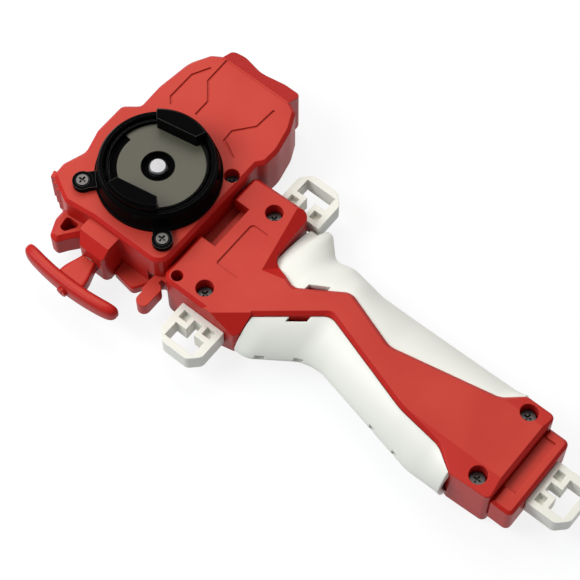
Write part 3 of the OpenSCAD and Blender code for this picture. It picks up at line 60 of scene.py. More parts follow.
# %% [markdown]
# ## The camera
# The photograph looks down at about 64 degrees through a long lens. A camera could be aimed with
# a constraint, but writing its axes as the columns of a matrix keeps it exact: right, up, and
# the direction opposite to the view.

# %% Camera
FRAME_PX, FOCAL_PX = 580, 2000
SENSOR_MM = 36
EYE_MM = (-220.6, -234.2, 594.5)
VIEW_TURN, VIEW_TILT = np.radians(50.9), np.radians(64)
FAR_CLIP_M = 20

right = np.array([np.cos(VIEW_TURN), -np.sin(VIEW_TURN), 0])
ahead = np.array([np.sin(VIEW_TURN), np.cos(VIEW_TURN), 0])
look = ahead * np.cos(VIEW_TILT) - np.array([0, 0, np.sin(VIEW_TILT)])
up = np.cross(right, look)
eye = np.array(EYE_MM) * MM

camera_data = bpy.data.cameras.new("photo_camera")
camera_data.sensor_width = SENSOR_MM
camera_data.lens = FOCAL_PX / FRAME_PX * SENSOR_MM
camera_data.clip_end = FAR_CLIP_M
camera = bpy.data.objects.new("photo_camera", camera_data)
axes_and_place = np.column_stack([right, up, -look, eye]).tolist()
camera.matrix_world = Matrix(axes_and_place + [[0, 0, 0, 1]])
bpy.context.scene.collection.objects.link(camera)
bpy.context.scene.camera = camera
print("lens:", round(camera_data.lens, 1), "mm")

# %% [markdown]
# ## Shader sums
# A node tree is easier to read as arithmetic. One small class wraps an output socket: its
# operators add Math nodes, and its method `node` adds any other kind of node.

# %% Sockets that can be added and multiplied
class Tap:
    """An output socket; every operator on it adds one Math node to the same tree."""

    def __init__(self, tree, socket=None):
        self.tree, self.socket = tree, socket

    def node(self, kind, settings=None, sockets=None, out=0):
        """Add a node: settings first, then the values or links of its input sockets."""
        made = self.tree.nodes.new(kind)
        for key, value in (settings or {}).items():
            setattr(made, key, value)
        for key, value in (sockets or {}).items():
            if isinstance(value, Tap):
                self.tree.links.new(value.socket, made.inputs[key])
            else:
                made.inputs[key].default_value = value
        return Tap(self.tree, made.outputs[out])

    def math(self, operation, a, b):
        return self.node("ShaderNodeMath", {"operation": operation}, {0: a, 1: b})

    def __add__(self, other):
        return self.math("ADD", self, other)

    __radd__ = __add__

    def __sub__(self, other):
        return self.math("SUBTRACT", self, other)

    def __rsub__(self, other):
        return self.math("SUBTRACT", other, self)

    def __mul__(self, other):
        return self.math("MULTIPLY", self, other)

    __rmul__ = __mul__


def mix(factor, first, second):
    """Blend two colours, each a link or an RGB triple, by a factor between 0 and 1."""
    def rgba(colour):
        return colour if isinstance(colour, Tap) else (*colour, 1)
    # Sockets 6 and 7, and output 2, are the Mix node's colours
    sockets = {0: factor, 6: rgba(first), 7: rgba(second)}
    return factor.node("ShaderNodeMix", {"data_type": "RGBA"}, sockets, 2)


def ramp_between(value, low, high):
    """A smooth step: 0 below low, 1 above high."""
    sockets = {"Value": value, "From Min": low, "From Max": high}
    return value.node("ShaderNodeMapRange", {"interpolation_type": "SMOOTHSTEP"}, sockets)


print("shader sums ready")

# %% [markdown]
# ## Moulded plastic
# Each plastic on the toy is a Principled shader. What makes it look moulded is small: the tool's
# spark-eroded grain on flat faces, a slow drift of colour where the melt flowed, and a gloss that
# is never quite even. All of it is noise in Object coordinates, so it needs no UV map.

# %% Noise, bump and masks
BEVEL_SAMPLES = 8


def new_finish(name, **constants):
    """Return a material, its tree's Tap, its Object coordinates and its Principled node. Constants
    are set on the shader's sockets, with _ for a space in their names."""
    material = bpy.data.materials.new(name)
    material.use_nodes = True
    shader = material.node_tree.nodes["Principled BSDF"]
    for socket, value in constants.items():
        shader.inputs[socket.replace("_", " ")].default_value = value
    tap = Tap(material.node_tree)
    place = tap.node("ShaderNodeTexCoord", out=3)
    return material, tap, place, shader


def link(tap, shader, **sockets):
    """Feed varying values to the shader's sockets."""
    for name, value in sockets.items():
        tap.tree.links.new(value.socket, shader.inputs[name.replace("_", " ")])


def noise(tap, place, size_mm, detail=2.0, roughness=0.5):
    """Perlin noise between 0 and 1 whose features are about size_mm across."""
    sockets = {"Vector": place, "Scale": 1 / (size_mm * MM), "Detail": detail, "Roughness": roughness}
    return tap.node("ShaderNodeTexNoise", None, sockets)


def bent_normal(tap, radius_mm):
    """The normal as a fillet of this radius on every edge would turn it."""
    return tap.node("ShaderNodeBevel", {"samples": BEVEL_SAMPLES}, {"Radius": radius_mm * MM})


def bump(tap, height, depth_mm, strength=1.0, edge_mm=0.0):
    """A Bump normal from a height between 0 and 1 that stands for depth_mm. Where edge_mm is given,
    it starts from a normal that is bent across every edge."""
    sockets = {"Height": height, "Distance": depth_mm * MM, "Strength": strength}
    if edge_mm:
        sockets["Normal"] = bent_normal(tap, edge_mm)
    return tap.node("ShaderNodeBump", None, sockets)


# Besides the roughness, this mask picks the painted light of a moulded finish: the lit colour on flat
# faces, painted shade on walls. Its limits are narrow, so facets tilted a few degrees take part of
# the painted shade.
def facing_up(tap, least=0.984, full=0.9995):
    """1 on faces that look up or down, 0 on walls and bevels, from the object's own normals."""
    normal = tap.node("ShaderNodeTexCoord", out=1)
    upward = tap.node("ShaderNodeSeparateXYZ", None, {0: normal}, 2)
    return ramp_between(tap.math("ABSOLUTE", upward, 0.0), least, full)


def near_edge(tap, radius_mm, least=0.02, full=0.25):
    """1 where a fillet of this radius would turn the normal well away from the face's own, else 0."""
    own = tap.node("ShaderNodeNewGeometry", out=3)
    sockets = {0: bent_normal(tap, radius_mm), 1: own}
    alike = tap.node("ShaderNodeVectorMath", {"operation": "DOT_PRODUCT"}, sockets, 1)
    return ramp_between(1 - alike, least, full)


print("noise, bump and masks ready")

# %% Finishes with grain, drift and gloss
FLOW_MM, FLOW_SHARE = 28, 0.35
FLOW_FROM, FLOW_TO = 0.35, 0.75
FINE_GLOSS, FLOW_GLOSS = 0.12, 0.1
GRAIN_STRENGTH = 0.6
EDGE_COAT_ROUGHNESS = 0.2
FINISH = {}


def moulded(slot, face, wall, rough, grain_mm, grain_depth_mm, edge_mm, shine=0.5, drift=0.08,
            edge_coat=0.0):
    """Plastic whose flat faces are grained and duller, and whose walls and bevels are polished.
    Face and wall are lit and shaded copies of one colour, for flat faces and for walls and bevels:
    their difference is painted light and shade. Rough is a pair: the roughness of flat faces and of
    walls. Shine is how strongly it reflects, drift how much darker the melt lines are, and edge_coat
    the weight of a clear coat on edges that are rubbed bright."""
    material, tap, place, shader = new_finish(slot, Specular_IOR_Level=shine)
    flat = facing_up(tap)
    flow = noise(tap, place, FLOW_MM, 3.0)
    fine = noise(tap, place, grain_mm, 3.0, 0.6)
    # Painted light and shade: flat faces take the lit copy of the colour, walls and bevels the shaded
    # copy
    colour = mix(flat, wall, face)
    shade = tuple(c * (1 - 2 * drift) for c in wall)
    uneven = (fine - 0.5) * FINE_GLOSS + (flow - 0.5) * FLOW_GLOSS
    link(tap, shader,
         Base_Color=mix(ramp_between(flow, FLOW_FROM, FLOW_TO) * FLOW_SHARE, colour, shade),
         Roughness=rough[1] + flat * (rough[0] - rough[1]) + uneven,
         Normal=bump(tap, fine, grain_depth_mm, GRAIN_STRENGTH, edge_mm))
    if edge_coat:
        shader.inputs["Coat Roughness"].default_value = EDGE_COAT_ROUGHNESS
        link(tap, shader, Coat_Weight=near_edge(tap, edge_mm) * edge_coat)
    FINISH[slot] = material


# Each face colour is the lit copy and each wall colour the shaded copy of one plastic: the difference
# is painted light and shade
moulded("red_shell", face=(0.50, 0.040, 0.024), wall=(0.44, 0.012, 0.008), rough=(0.5, 0.4),
        grain_mm=0.45, grain_depth_mm=0.012, edge_mm=0.45, shine=0.18)
moulded("ivory_pad", face=(0.74, 0.72, 0.63), wall=(0.75, 0.745, 0.68), rough=(0.45, 0.38),
        grain_mm=0.6, grain_depth_mm=0.010, edge_mm=0.3, shine=0.25, drift=0.04)
moulded("black_head", face=(0.0015, 0.0015, 0.0015), wall=(0.002, 0.002, 0.002), rough=(0.5, 0.2),
        grain_mm=0.5, grain_depth_mm=0.004, edge_mm=0.5, shine=0.010, edge_coat=0.6)
# The grey plate's olive grey is a painted reflection of bright surroundings on dark glossy plastic
moulded("grey_plate", face=(0.085, 0.08, 0.056), wall=(0.07, 0.066, 0.045), rough=(0.36, 0.3),
        grain_mm=0.35, grain_depth_mm=0.010, edge_mm=0.15, shine=0.2)
moulded("natural_plastic", face=(0.74, 0.71, 0.62), wall=(0.72, 0.69, 0.60), rough=(0.42, 0.36),
        grain_mm=0.5, grain_depth_mm=0.008, edge_mm=0.2)
print("moulded finishes:", sorted(FINISH))

# %% [markdown]
# ## Steel
# Screws, clips, wire and the centre pin are bright zinc-plated steel. Plating is slightly cloudy,
# so the roughness drifts, and fine turning marks run round the axis of each turned part. The
# marks are thin bands of the height, which are rings on a head and lines round a shank. The
# screws are mixed much darker than the pin, as painted shade for the deep wells that they sit in,
# so the same recipe is mixed twice.

# %% Plated steel
CLOUD_MM = 1.6
MARKS_PER_M = (300, 300, 9000)
MARK_DEPTH_MM, MARK_STRENGTH, STEEL_EDGE_MM = 0.01, 0.4, 0.15


def plated_steel(name, dark, light):
    """Metal with cloudy plating and fine turning marks along the height."""
    material, tap, place, shader = new_finish(name, Metallic=1.0)
    cloud = noise(tap, place, CLOUD_MM, 3.0)
    stretched = tap.node("ShaderNodeMapping", None, {"Vector": place, "Scale": MARKS_PER_M})
    marks = tap.node("ShaderNodeTexNoise", None, {"Vector": stretched, "Scale": 1.0, "Detail": 2.0})
    link(tap, shader,
         Base_Color=mix(cloud, dark, light),
         Roughness=0.32 + cloud * 0.16 + marks * 0.08,
         Normal=bump(tap, marks, MARK_DEPTH_MM, MARK_STRENGTH, STEEL_EDGE_MM))
    FINISH[name] = material


plated_steel("steel", dark=(0.26, 0.26, 0.275), light=(0.34, 0.34, 0.34))
# The screws' dark steel is painted shade for the deep wells that they sit in
plated_steel("screw_steel_painted_shade", dark=(0.08, 0.076, 0.073), light=(0.14, 0.135, 0.13))
print("steel added:", sorted(FINISH))

# %% [markdown]
# ## String
# The pull string is a tight twist of polyester. Its surface below already carries the strands as
# shape, so the finish only adds the yarn: fine slanted fibres from the string's own UV map, where
# one coordinate runs along the string and the other runs round it.

# %% Twisted yarn
CORD_UV = "along_round"
FIBRE_LEAN, FIBRE_SCALE = (0, 0, 0.9), (60, 24, 1)
# YARN_DARK is the painted shade in the gaps between fibres and the dark end of a random tone
YARN_DARK, YARN_LIGHT = (0.55, 0.54, 0.50), (0.86, 0.85, 0.81)
YARN_CLOUD_MM, FIBRE_DEPTH_MM, FIBRE_STRENGTH = 2.5, 0.03, 0.6


def twisted_yarn(slot):
    """Fibres as noise stretched along a slanted UV direction, with painted shade in the gaps between
    them.
    """
    material, tap, place, shader = new_finish(slot, Sheen_Weight=0.2)
    uv = tap.node("ShaderNodeUVMap", {"uv_map": CORD_UV})
    sockets = {"Vector": uv, "Rotation": FIBRE_LEAN, "Scale": FIBRE_SCALE}
    lean = tap.node("ShaderNodeMapping", None, sockets)
    fibres = tap.node("ShaderNodeTexNoise", None, {"Vector": lean, "Scale": 1.0, "Detail": 3.0})
    cloud = noise(tap, place, YARN_CLOUD_MM)
    # Painted shade darkens the gaps where the fibre height is low; the cloud adds random tone
    link(tap, shader,
         Base_Color=mix(fibres * 0.7 + cloud * 0.3, YARN_DARK, YARN_LIGHT),
         Roughness=0.6 + fibres * 0.25,
         Normal=bump(tap, fibres, FIBRE_DEPTH_MM, FIBRE_STRENGTH))
    FINISH[slot] = material


twisted_yarn("string")
print("all finishes:", sorted(FINISH))

# %% [markdown]
# ## Dressing the frame's rigid parts
# The shells, gears and screws of the frame already have the right shape, so they stay. Real
# mouldings have no knife edges: a small radius on every corner catches the light. On a shell full
# of holes a Bevel modifier leaves slivers, so there the finish's Bevel node bends the normals
# instead. On the loops, the end cap, the plug and the lever a Bevel modifier rounds the shape
# itself: a Weld first joins the frame's loose triangles, and weighted normals keep the flats flat.

# %% Bevels and finishes on the frame's nodes
EDGE_MM = {"strap_loop_left": 0.45, "strap_loop_right": 0.45, "strap_loop_end": 0.45,
           "release_lever": 0.7, "end_cap": 0.5, "handle_plug": 0.3}
SCREWS = ("collar_screws", "case_screws", "grip_screws")
WELD_M = 2e-6
SHARP_ANGLE = np.radians(30)


def soften(part, radius_mm):
    """Weld the node's loose triangles, round its sharp edges and weight the normals by area."""
    weld = part.modifiers.new("join", "WELD")
    weld.merge_threshold = WELD_M
    edge = part.modifiers.new("edge_radius", "BEVEL")
    edge.width, edge.segments = radius_mm * MM, 3
    edge.limit_method, edge.angle_limit = "ANGLE", SHARP_ANGLE
    normals = part.modifiers.new("flat_faces", "WEIGHTED_NORMAL")
    normals.weight = 80


slot_of = {part["node"]: part["material_slot"] for part in frame["record"]["subparts"]}
for name, part in frame["nodes"].items():
    part.data.materials.clear()
    # Screws take the steel that is darkened as painted shade for their wells
    part.data.materials.append(FINISH["screw_steel_painted_shade" if name in SCREWS else slot_of[name]])
    if name in EDGE_MM:
        soften(part, EDGE_MM[name])
print("dressed nodes:", len(slot_of), "of which softened:", len(EDGE_MM))

# %% [markdown]
# ## From arrays to meshes
# Every new piece is a grid of points: one parameter runs along the piece and the other runs round
# or across it. The helpers below turn such a grid into quads by shifting its index array, so no
# loop walks over vertices, and hang each piece on the body that carries it and hide what it replaces.

# %% Grids of points and their faces
def grid_quads(rows, cols, wrap_rows=False, wrap_cols=False):
    """Corner indices, as rows of four, of the quads between neighbours of a rows x cols grid."""
    index = np.arange(rows * cols).reshape(rows, cols)
    if wrap_cols:
        index = np.hstack([index, index[:, :1]])
    if wrap_rows:
        index = np.vstack([index, index[:1]])
    corners = [index[:-1, :-1], index[:-1, 1:], index[1:, 1:], index[1:, :-1]]
    return np.stack(corners, -1).reshape(-1, 4)


def capped_faces(rows, cols):
    """Faces of a tube's grid with one flat face on each end, all looking the same way."""
    sides = grid_quads(rows, cols, wrap_cols=True).tolist()
    first = list(range(cols))[::-1]
    last = list(range((rows - 1) * cols, rows * cols))
    return sides + [first, last]


def add_piece(name, points_mm, faces, slot, body, stands_for):
    """A smooth mesh at the origin from points in millimetres. It rides on a body, or on none where
    body is None, and it hides the nodes that it stands for."""
    mesh = bpy.data.meshes.new(name)
    mesh.from_pydata((np.asarray(points_mm).reshape(-1, 3) * MM).tolist(), [], faces)
    mesh.polygons.foreach_set("use_smooth", np.ones(len(mesh.polygons), bool))
    mesh.materials.append(FINISH[slot])
    piece = bpy.data.objects.new(name, mesh)
    bpy.context.scene.collection.objects.link(piece)
    if body:
        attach(piece, body)
    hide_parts(*stands_for)
    print(name, "-", len(mesh.polygons), "faces")
    return piece


print("grid helpers ready")

# %% [markdown]
# ## Cords and wires
# A cord is a circle carried along a path. Its circle could turn with the path's own curvature, but
# that frame flips where a path is straight, so each path brings a side direction of its own. The
# twist of a string is a cosine on the radius, whose angle turns along the path.

# %% A circle carried along a path
STRAND_SWELL, STRAND_SINK = 0.10, 0.04


def unit(vectors):
    """Vectors divided by their lengths."""
    return vectors / np.linalg.norm(vectors, axis=-1, keepdims=True)


def carried_ring(path, side, radius, sides, strands=0, turns_per_mm=0.0):
    """Points of a round cord: at each path point, a circle in the plane of the side direction and
    of its cross product with the path's tangent. Strands swell the radius by a cosine of the
    angle, which turns along the path as the twist does."""
    tangent = unit(np.gradient(path, axis=0))
    side = unit(side - (side * tangent).sum(-1, keepdims=True) * tangent)
    other = np.cross(tangent, side)
    steps = np.linalg.norm(np.diff(path, axis=0), axis=1)
    length = np.concatenate([[0], np.cumsum(steps)])
    angle = np.linspace(0, 2 * np.pi, sides, endpoint=False)
    twist = angle[None] - 2 * np.pi * turns_per_mm * length[:, None]
    wave = STRAND_SWELL * np.cos(strands * twist) - STRAND_SINK if strands else 0 * twist
    swell = radius * (1 + wave)
    cosine, sine = np.cos(angle)[None, :, None], np.sin(angle)[None, :, None]
    across = cosine * side[:, None] + sine * other[:, None]
    return path[:, None] + swell[..., None] * across, length


def add_uv(piece, length, cols):
    """The cord's UV map: millimetres along the cord, and one turn round it as 0 to 1."""
    steps = np.arange(cols + 1) / cols
    grid = np.stack(np.meshgrid(length, steps, indexing="ij"), -1)
    corners = [grid[:-1, :-1], grid[:-1, 1:], grid[1:, 1:], grid[1:, :-1]]
    around = np.stack(corners, -2).reshape(-1, 2)
    flat = np.zeros((len(piece.data.loops), 2))
    flat[:len(around)] = around
    piece.data.uv_layers.new(name=CORD_UV).data.foreach_set("uv", flat.ravel())


print("cord helpers ready")

# %% [markdown]
# ## The pull string
# The string is wound on the drum inside the case, runs out through a bush and ends in a knot in
# the handle. The frame holds it as plain tubes; here the wound part gets its three twisted
# strands as real shape. The run between case and handle is one tube from the case to the handle,
# which is left on no body.

# %% Wound string
SPOOL = np.array([26.9258, 2.0])
CORD_R, CORD_SIDES = 0.6, 18
WOUND_R, WOUND_TOP, WOUND_PITCH, WOUND_TURNS = 11.7, 14.55, 1.7, 5.5
WOUND_STEPS = 396
STRANDS, TWISTS_PER_MM = 3, 0.22
LEAVE = np.radians(-101.93)

turn = np.linspace(0, WOUND_TURNS, WOUND_STEPS)
bearing = LEAVE + 2 * np.pi * turn
radial = np.stack([np.cos(bearing), np.sin(bearing), 0 * turn], 1)
drum_axis = np.stack([SPOOL[0] + 0 * turn, SPOOL[1] + 0 * turn, WOUND_TOP - WOUND_PITCH * turn], 1)
wound = radial * WOUND_R + drum_axis
rings, along = carried_ring(wound, radial, CORD_R, CORD_SIDES, STRANDS, TWISTS_PER_MM)
winding = add_piece("wound_string", rings, capped_faces(WOUND_STEPS, CORD_SIDES), "string",
                    "spool", ["string_winding"])
add_uv(winding, along, CORD_SIDES)

# %% String to the handle
OUTLET_Y, OUTLET_Z = 1.9, 12.0
BEND = np.array([-28.0, OUTLET_Y, OUTLET_Z])
PAST_BEND_X, KNOT_X = -29.2, -44.45
INSIDE_STEPS, OUTSIDE_STEPS = 40, 90
NEAR_DRUM, NEAR_BEND = 0.985, 0.03


def on_outlet(x):
    """Points on the outlet's axis at the places x."""
    return np.stack([x, np.full(len(x), OUTLET_Y), np.full(len(x), OUTLET_Z)], 1)


inside = BEND + (wound[0] - BEND) * np.linspace(NEAR_DRUM, NEAR_BEND, INSIDE_STEPS)[:, None]
outside = on_outlet(np.linspace(PAST_BEND_X, KNOT_X, OUTSIDE_STEPS))
run = np.vstack([inside, outside])
upward = np.tile([0.0, 0.0, 1.0], (len(run), 1))
rings, along = carried_ring(run, upward, CORD_R, CORD_SIDES)
string = add_piece("string_to_handle", rings, capped_faces(len(run), CORD_SIDES), "string",
                   None, ["string_run"])
add_uv(string, along, CORD_SIDES)
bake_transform(string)

# %% Knot
KNOT_STEPS, KNOT_SIDES, KNOT_CORD_R = 96, 10, 0.3
KNOT_RING, KNOT_TUBE, KNOT_DEPTH, KNOT_BACK = 0.72, 0.3, 0.34, 0.72
KNOT_CELL_UV = [[0, 0], [0, 0.1], [0.4, 0.1], [0.4, 0]]

# A trefoil: a point goes twice round the axis while it circles the ring three times
loop = np.linspace(0, 2 * np.pi, KNOT_STEPS, endpoint=False)
ring = KNOT_RING + KNOT_TUBE * np.cos(3 * loop)
trefoil = np.stack([KNOT_X - KNOT_BACK + KNOT_DEPTH * np.sin(3 * loop),
                    OUTLET_Y + ring * np.cos(2 * loop), OUTLET_Z + ring * np.sin(2 * loop)], 1)
closed = np.vstack([trefoil[-1:], trefoil, trefoil[:1]])
slanted = np.tile([1.0, 0.2, 0.1], (len(closed), 1))
rings, _ = carried_ring(closed, slanted, KNOT_CORD_R, KNOT_SIDES)
knot_quads = grid_quads(KNOT_STEPS, KNOT_SIDES, wrap_rows=True, wrap_cols=True)
knot = add_piece("string_end_knot", rings[1:-1], knot_quads.tolist(), "string",
                 "handle", ["string_knot"])
knot_uv = np.tile(KNOT_CELL_UV, (len(knot_quads), 1))
knot.data.uv_layers.new(name=CORD_UV).data.foreach_set("uv", knot_uv.ravel())

# %% [markdown]
# ## Springs
# Three springs hide in the mechanism. Two are wire coils: a circle carried along a helix, whose
# rise is slower at both ends, as in a spring with closed ends. The third is the mainspring, a
# strip whose rounded section is carried along an Archimedean spiral, one step out per turn.

# %% Coil springs
WIRE_R, WIRE_SIDES = 0.25, 12
END_CLOSING = 0.04
PIN_COIL_R, PIN_TURNS = 3.35, 5
PIN_SPRING_FOOT, PIN_SPRING_HEAD = 17.6, 24.0
LEVER_COIL_R, LEVER_COIL_LEN, LEVER_TURNS = 1.4, 2.9, 3
LEVER_SEAT, LEVER_REACH, LEVER_END = np.array([-22.5, -14.8, 11.8]), 3.6, 0.35
ALONG_MINUS_Y = np.array([[1.0, 0, 0], [0, 0, 1.0], [0, -1.0, 0]])


def helix(radius, length, turns, steps=40):
    """Points of a coil along +Z from 0 to length, its end turns nearly closed."""
    turn = np.linspace(0, turns, int(turns * steps) + 1)
    rise = turn / turns
    rise = rise - END_CLOSING * np.sin(2 * np.pi * rise)
    angle = 2 * np.pi * turn
    radial = np.stack([np.cos(angle), np.sin(angle), 0 * angle], 1)
    return radial * radius + np.stack([0 * turn, 0 * turn, rise * length], 1), radial


coil, out = helix(PIN_COIL_R, PIN_SPRING_HEAD - PIN_SPRING_FOOT, PIN_TURNS)
rings, _ = carried_ring(coil + [0, 0, PIN_SPRING_FOOT], out, WIRE_R, WIRE_SIDES)
pin_spring = add_piece("pin_return_spring", rings, capped_faces(len(coil), WIRE_SIDES), "steel",
                       None, ["pin_spring"])
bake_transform(pin_spring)

coil, out = helix(LEVER_COIL_R, LEVER_COIL_LEN, LEVER_TURNS)
lying = coil @ ALONG_MINUS_Y + LEVER_SEAT + [0, -LEVER_END, 0]
rings, _ = carried_ring(lying, out @ ALONG_MINUS_Y, WIRE_R, WIRE_SIDES)
lever_spring = add_piece("lever_return_spring", rings, capped_faces(len(coil), WIRE_SIDES), "steel",
                         None, ["lever_spring"])
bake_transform(lever_spring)

# %% Mainspring
STRIP_IN, STRIP_OUT, STRIP_TURNS, STRIP_STEPS = 3.65, 9.2, 5, 72
STRIP_LOW, STRIP_HIGH, STRIP_T = 4.6, 13.1, 0.3
CORNER_W, CORNER_H = 0.08, 0.1

spiral = np.linspace(0, 1, STRIP_TURNS * STRIP_STEPS + 1)
strip_angle = 2 * np.pi * STRIP_TURNS * spiral
outward = np.stack([np.cos(strip_angle), np.sin(strip_angle)], 1)
rim, inset = STRIP_T / 2, STRIP_T / 2 - CORNER_W
section = np.array([[-rim, CORNER_H], [-inset, 0], [inset, 0], [rim, CORNER_H],
                    [rim, -CORNER_H], [inset, 0], [-inset, 0], [-rim, -CORNER_H]])
height = np.repeat([STRIP_LOW, STRIP_HIGH], 4) + section[:, 1]
spread = (STRIP_IN + (STRIP_OUT - STRIP_IN) * spiral)[:, None] + section[None, :, 0]
strip = np.concatenate([SPOOL + outward[:, None] * spread[..., None],
                        np.broadcast_to(height[None, :, None], (*spread.shape, 1))], -1)
strip_faces = [face[::-1] for face in capped_faces(*spread.shape)]
add_piece("mainspring_strip", strip, strip_faces, "steel", "frame", ["mainspring"])

# %% [markdown]
# ## The T-handle
# The handle is moulded in one: a bowed bar that fits two fingers, and a flat neck that widens
# towards it. A bar could be modelled as a box with a Subdivision modifier, but a rounded square
# carried along the bow keeps the grip's thickness exact: its size falls off only near the tips.

# %% Bowed bar and its neck
BAR_MIDDLE_X, BAR_HALF_LEN, BAR_BOW_R = -44.55, 19.5, 90.0
BAR_HALF_T, BAR_HALF_H, BAR_STEPS = 2.25, 4.0, 91
BAR_SLIM, TIP_POWER, TIP_ROUND, TIP_LEAST = 0.12, 14, 0.42, 0.0008
NECK_BAR_X, NECK_CASE_X, NECK_STEPS = -42.6, -33.7, 40
NECK_HALF_W, NECK_HALF_H, NECK_FLARE = (2.9, 5.2), 2.8, 1.4
BAR_SQUARENESS, NECK_SQUARENESS, HANDLE_SIDES = 3.2, 9, 40


def rounded_square(angle, power):
    """A superellipse: cosine and sine, each to the power 2/power with its sign kept."""
    return [np.sign(f) * np.abs(f) ** (2 / power) for f in (np.cos(angle), np.sin(angle))]


round_it = np.linspace(0, 2 * np.pi, HANDLE_SIDES, endpoint=False)
# Rows gather near the tips, where the bar is closed in a rounded end
reach = np.sin(np.linspace(-np.pi / 2, np.pi / 2, BAR_STEPS))
tip = np.clip(1 - np.abs(reach) ** TIP_POWER, TIP_LEAST, 1) ** TIP_ROUND
slim = 1 - BAR_SLIM * reach ** 2
side_y = BAR_HALF_LEN * reach
bow_x = BAR_MIDDLE_X + BAR_BOW_R - np.sqrt(BAR_BOW_R ** 2 - side_y ** 2)
flat_x, flat_z = rounded_square(round_it, BAR_SQUARENESS)
bar = np.stack(np.broadcast_arrays(
    bow_x[:, None] - BAR_HALF_T * tip[:, None] * flat_x,
    OUTLET_Y + side_y[:, None],
    OUTLET_Z + BAR_HALF_H * (tip * slim)[:, None] * flat_z), -1)
add_piece("handle_bar", bar, capped_faces(*bar.shape[:2]), "red_shell", "handle", ["pull_handle"])

to_bar = np.linspace(0, 1, NECK_STEPS)
flare = np.sin(np.pi / 2 * to_bar) ** NECK_FLARE
half_w = NECK_HALF_W[0] + (NECK_HALF_W[1] - NECK_HALF_W[0]) * flare
flat_y, flat_z = rounded_square(round_it, NECK_SQUARENESS)
neck = np.stack(np.broadcast_arrays(
    (NECK_CASE_X + (NECK_BAR_X - NECK_CASE_X) * to_bar)[:, None],
    OUTLET_Y + half_w[:, None] * flat_y,
    OUTLET_Z + NECK_HALF_H * flat_z), -1)
neck_faces = [face[::-1] for face in capped_faces(*neck.shape[:2])]
add_piece("handle_neck", neck, neck_faces, "red_shell", "handle", ["pull_handle"])

# %% [markdown]
# ## Ivory pads
# The grip's fingers and palm lie on two ivory pads, each made of a front and a back half that
# meet in a seam. A pad is a skin stretched between two outlines: the edge, where it dips under
# the red shell, and the bulge, its widest line along the seam. Between them every cross-section
# is a quarter of a rounded square, so the pad is one formula in two parameters. Cells that are
# left out of its grid become the snap's notch and the small holes on the seam, and Solidify then
# gives the skin its wall.

# %% Outlines with rounded corners
# Corners as (across the grip, along the grip, radius), from the grip's own origin
FINGER_EDGE = [(-23.1, 21.6, 2), (0.8, 50.7, 4.5), (-10.6, 87.2, 30), (-12.8, 103.9, 9),
               (-18.1, 111.8, 2.5)]
FINGER_BULGE = [(-24.5, 21.6, 1), (-24.5, 36.1, 8), (-12.2, 53.6, 16), (-22.3, 99.1, 20),
                (-21.6, 126.4, 1)]
PALM_EDGE = [(24.9, 22.6, 2.5), (5, 24, 4), (0.9, 35.2, 3.5), (11.2, 50.7, 4.5), (4, 71.6, 7),
             (11.9, 109, 7), (17.5, 115.4, 3)]
PALM_BULGE = [(24.6, 22.6, 1), (24.6, 26.6, 0.1), (27.8, 28.2, 1), (27.5, 30.4, 2),
              (20.6, 37.1, 4), (22.3, 43.9, 6), (20, 57.1, 15), (20.8, 126.4, 1)]
LARGEST_SHARE = 0.48


def rounded_line(corners, steps=14):
    """A polyline whose inner corners are arcs: each arc touches both sides, its points swing from
    one side's normal to the other's about a centre on the bisector."""
    corners = np.array(corners, float)
    points = corners[:, :2]
    before, here, after = points[:-2], points[1:-1], points[2:]
    into, out = unit(before - here), unit(after - here)
    half = np.arccos(np.clip((into * out).sum(1), -1, 1)) / 2
    radius = corners[1:-1, 2]
    reach = radius / np.tan(half)
    shorter = np.minimum(np.linalg.norm(before - here, axis=1), np.linalg.norm(after - here, axis=1))
    most = LARGEST_SHARE * shorter
    radius, reach = radius * np.minimum(1, most / reach), np.minimum(reach, most)
    centre = here + unit(into + out) * (radius / np.sin(half))[:, None]
    first = (here + into * reach[:, None] - centre)[:, None]
    last = (here + out * reach[:, None] - centre)[:, None]
    share = np.linspace(0, 1, steps)[None, :, None]
    arcs = centre[:, None] + radius[:, None, None] * unit(first * (1 - share) + last * share)
    return np.vstack([points[:1], arcs.reshape(-1, 2), points[-1:]])


def across_at(corners, v):
    """The outline's sideways place u at distances v along the grip."""
    line = rounded_line(corners)
    order = np.argsort(line[:, 1], kind="stable")
    return np.interp(v, line[order, 1], line[order, 0])


stations = np.linspace(20, 120, 5)
widths = across_at(FINGER_EDGE, stations) - across_at(FINGER_BULGE, stations)
print("finger pad width at", stations, "mm:", widths.round(1))

# %% Pad skins
GRIP_AT = np.array([-3.0, -22.9])
SEAM_Z, SEAM_HALF_GAP, PAD_TOP_Z = 11.0, 0.06, 20.3
PAD_ROWS, PAD_COLS = 150, 26


def pad_skin(edge, bulge, dip, gap, ends, fullness, front):
    """Points of one pad half. Across runs a from 0 at the shell to a quarter turn at the seam:
    sideways it goes as sin(a) to the power 2/fullness and in height as cos(a) to the same power,
    so fullness 2 is an ellipse and a smaller one is flatter. Dip lowers the top near the block."""
    v = np.linspace(*ends, PAD_ROWS)
    a = np.linspace(0, np.pi / 2, PAD_COLS)
    inner = across_at(edge, v) + gap
    outer = across_at(bulge, v)
    u = inner[:, None] + (outer - inner)[:, None] * np.sin(a) ** (2 / fullness)
    top = PAD_TOP_Z - SEAM_Z - SEAM_HALF_GAP - np.interp(v, *np.transpose(dip))
    rise = SEAM_HALF_GAP + top[:, None] * np.clip(np.cos(a), 0, 1) ** (2 / fullness)
    z = SEAM_Z + (rise if front else -rise)
    u, v, z = np.broadcast_arrays(u, v[:, None], z)
    return np.stack([GRIP_AT[0] + u, GRIP_AT[1] - v, z], -1), v


print("pad skins:", PAD_ROWS, "x", PAD_COLS, "points")

# %% Pad halves
PAD_WALL, RIM_R, RIM_ANGLE = 2.0, 0.18, np.radians(50)
HOLE_HALF_LEN, HOLE_TOP = 1.2, 1.3
SEAM_HOLES = (39.5, 49.8, 82.5, 92.9)


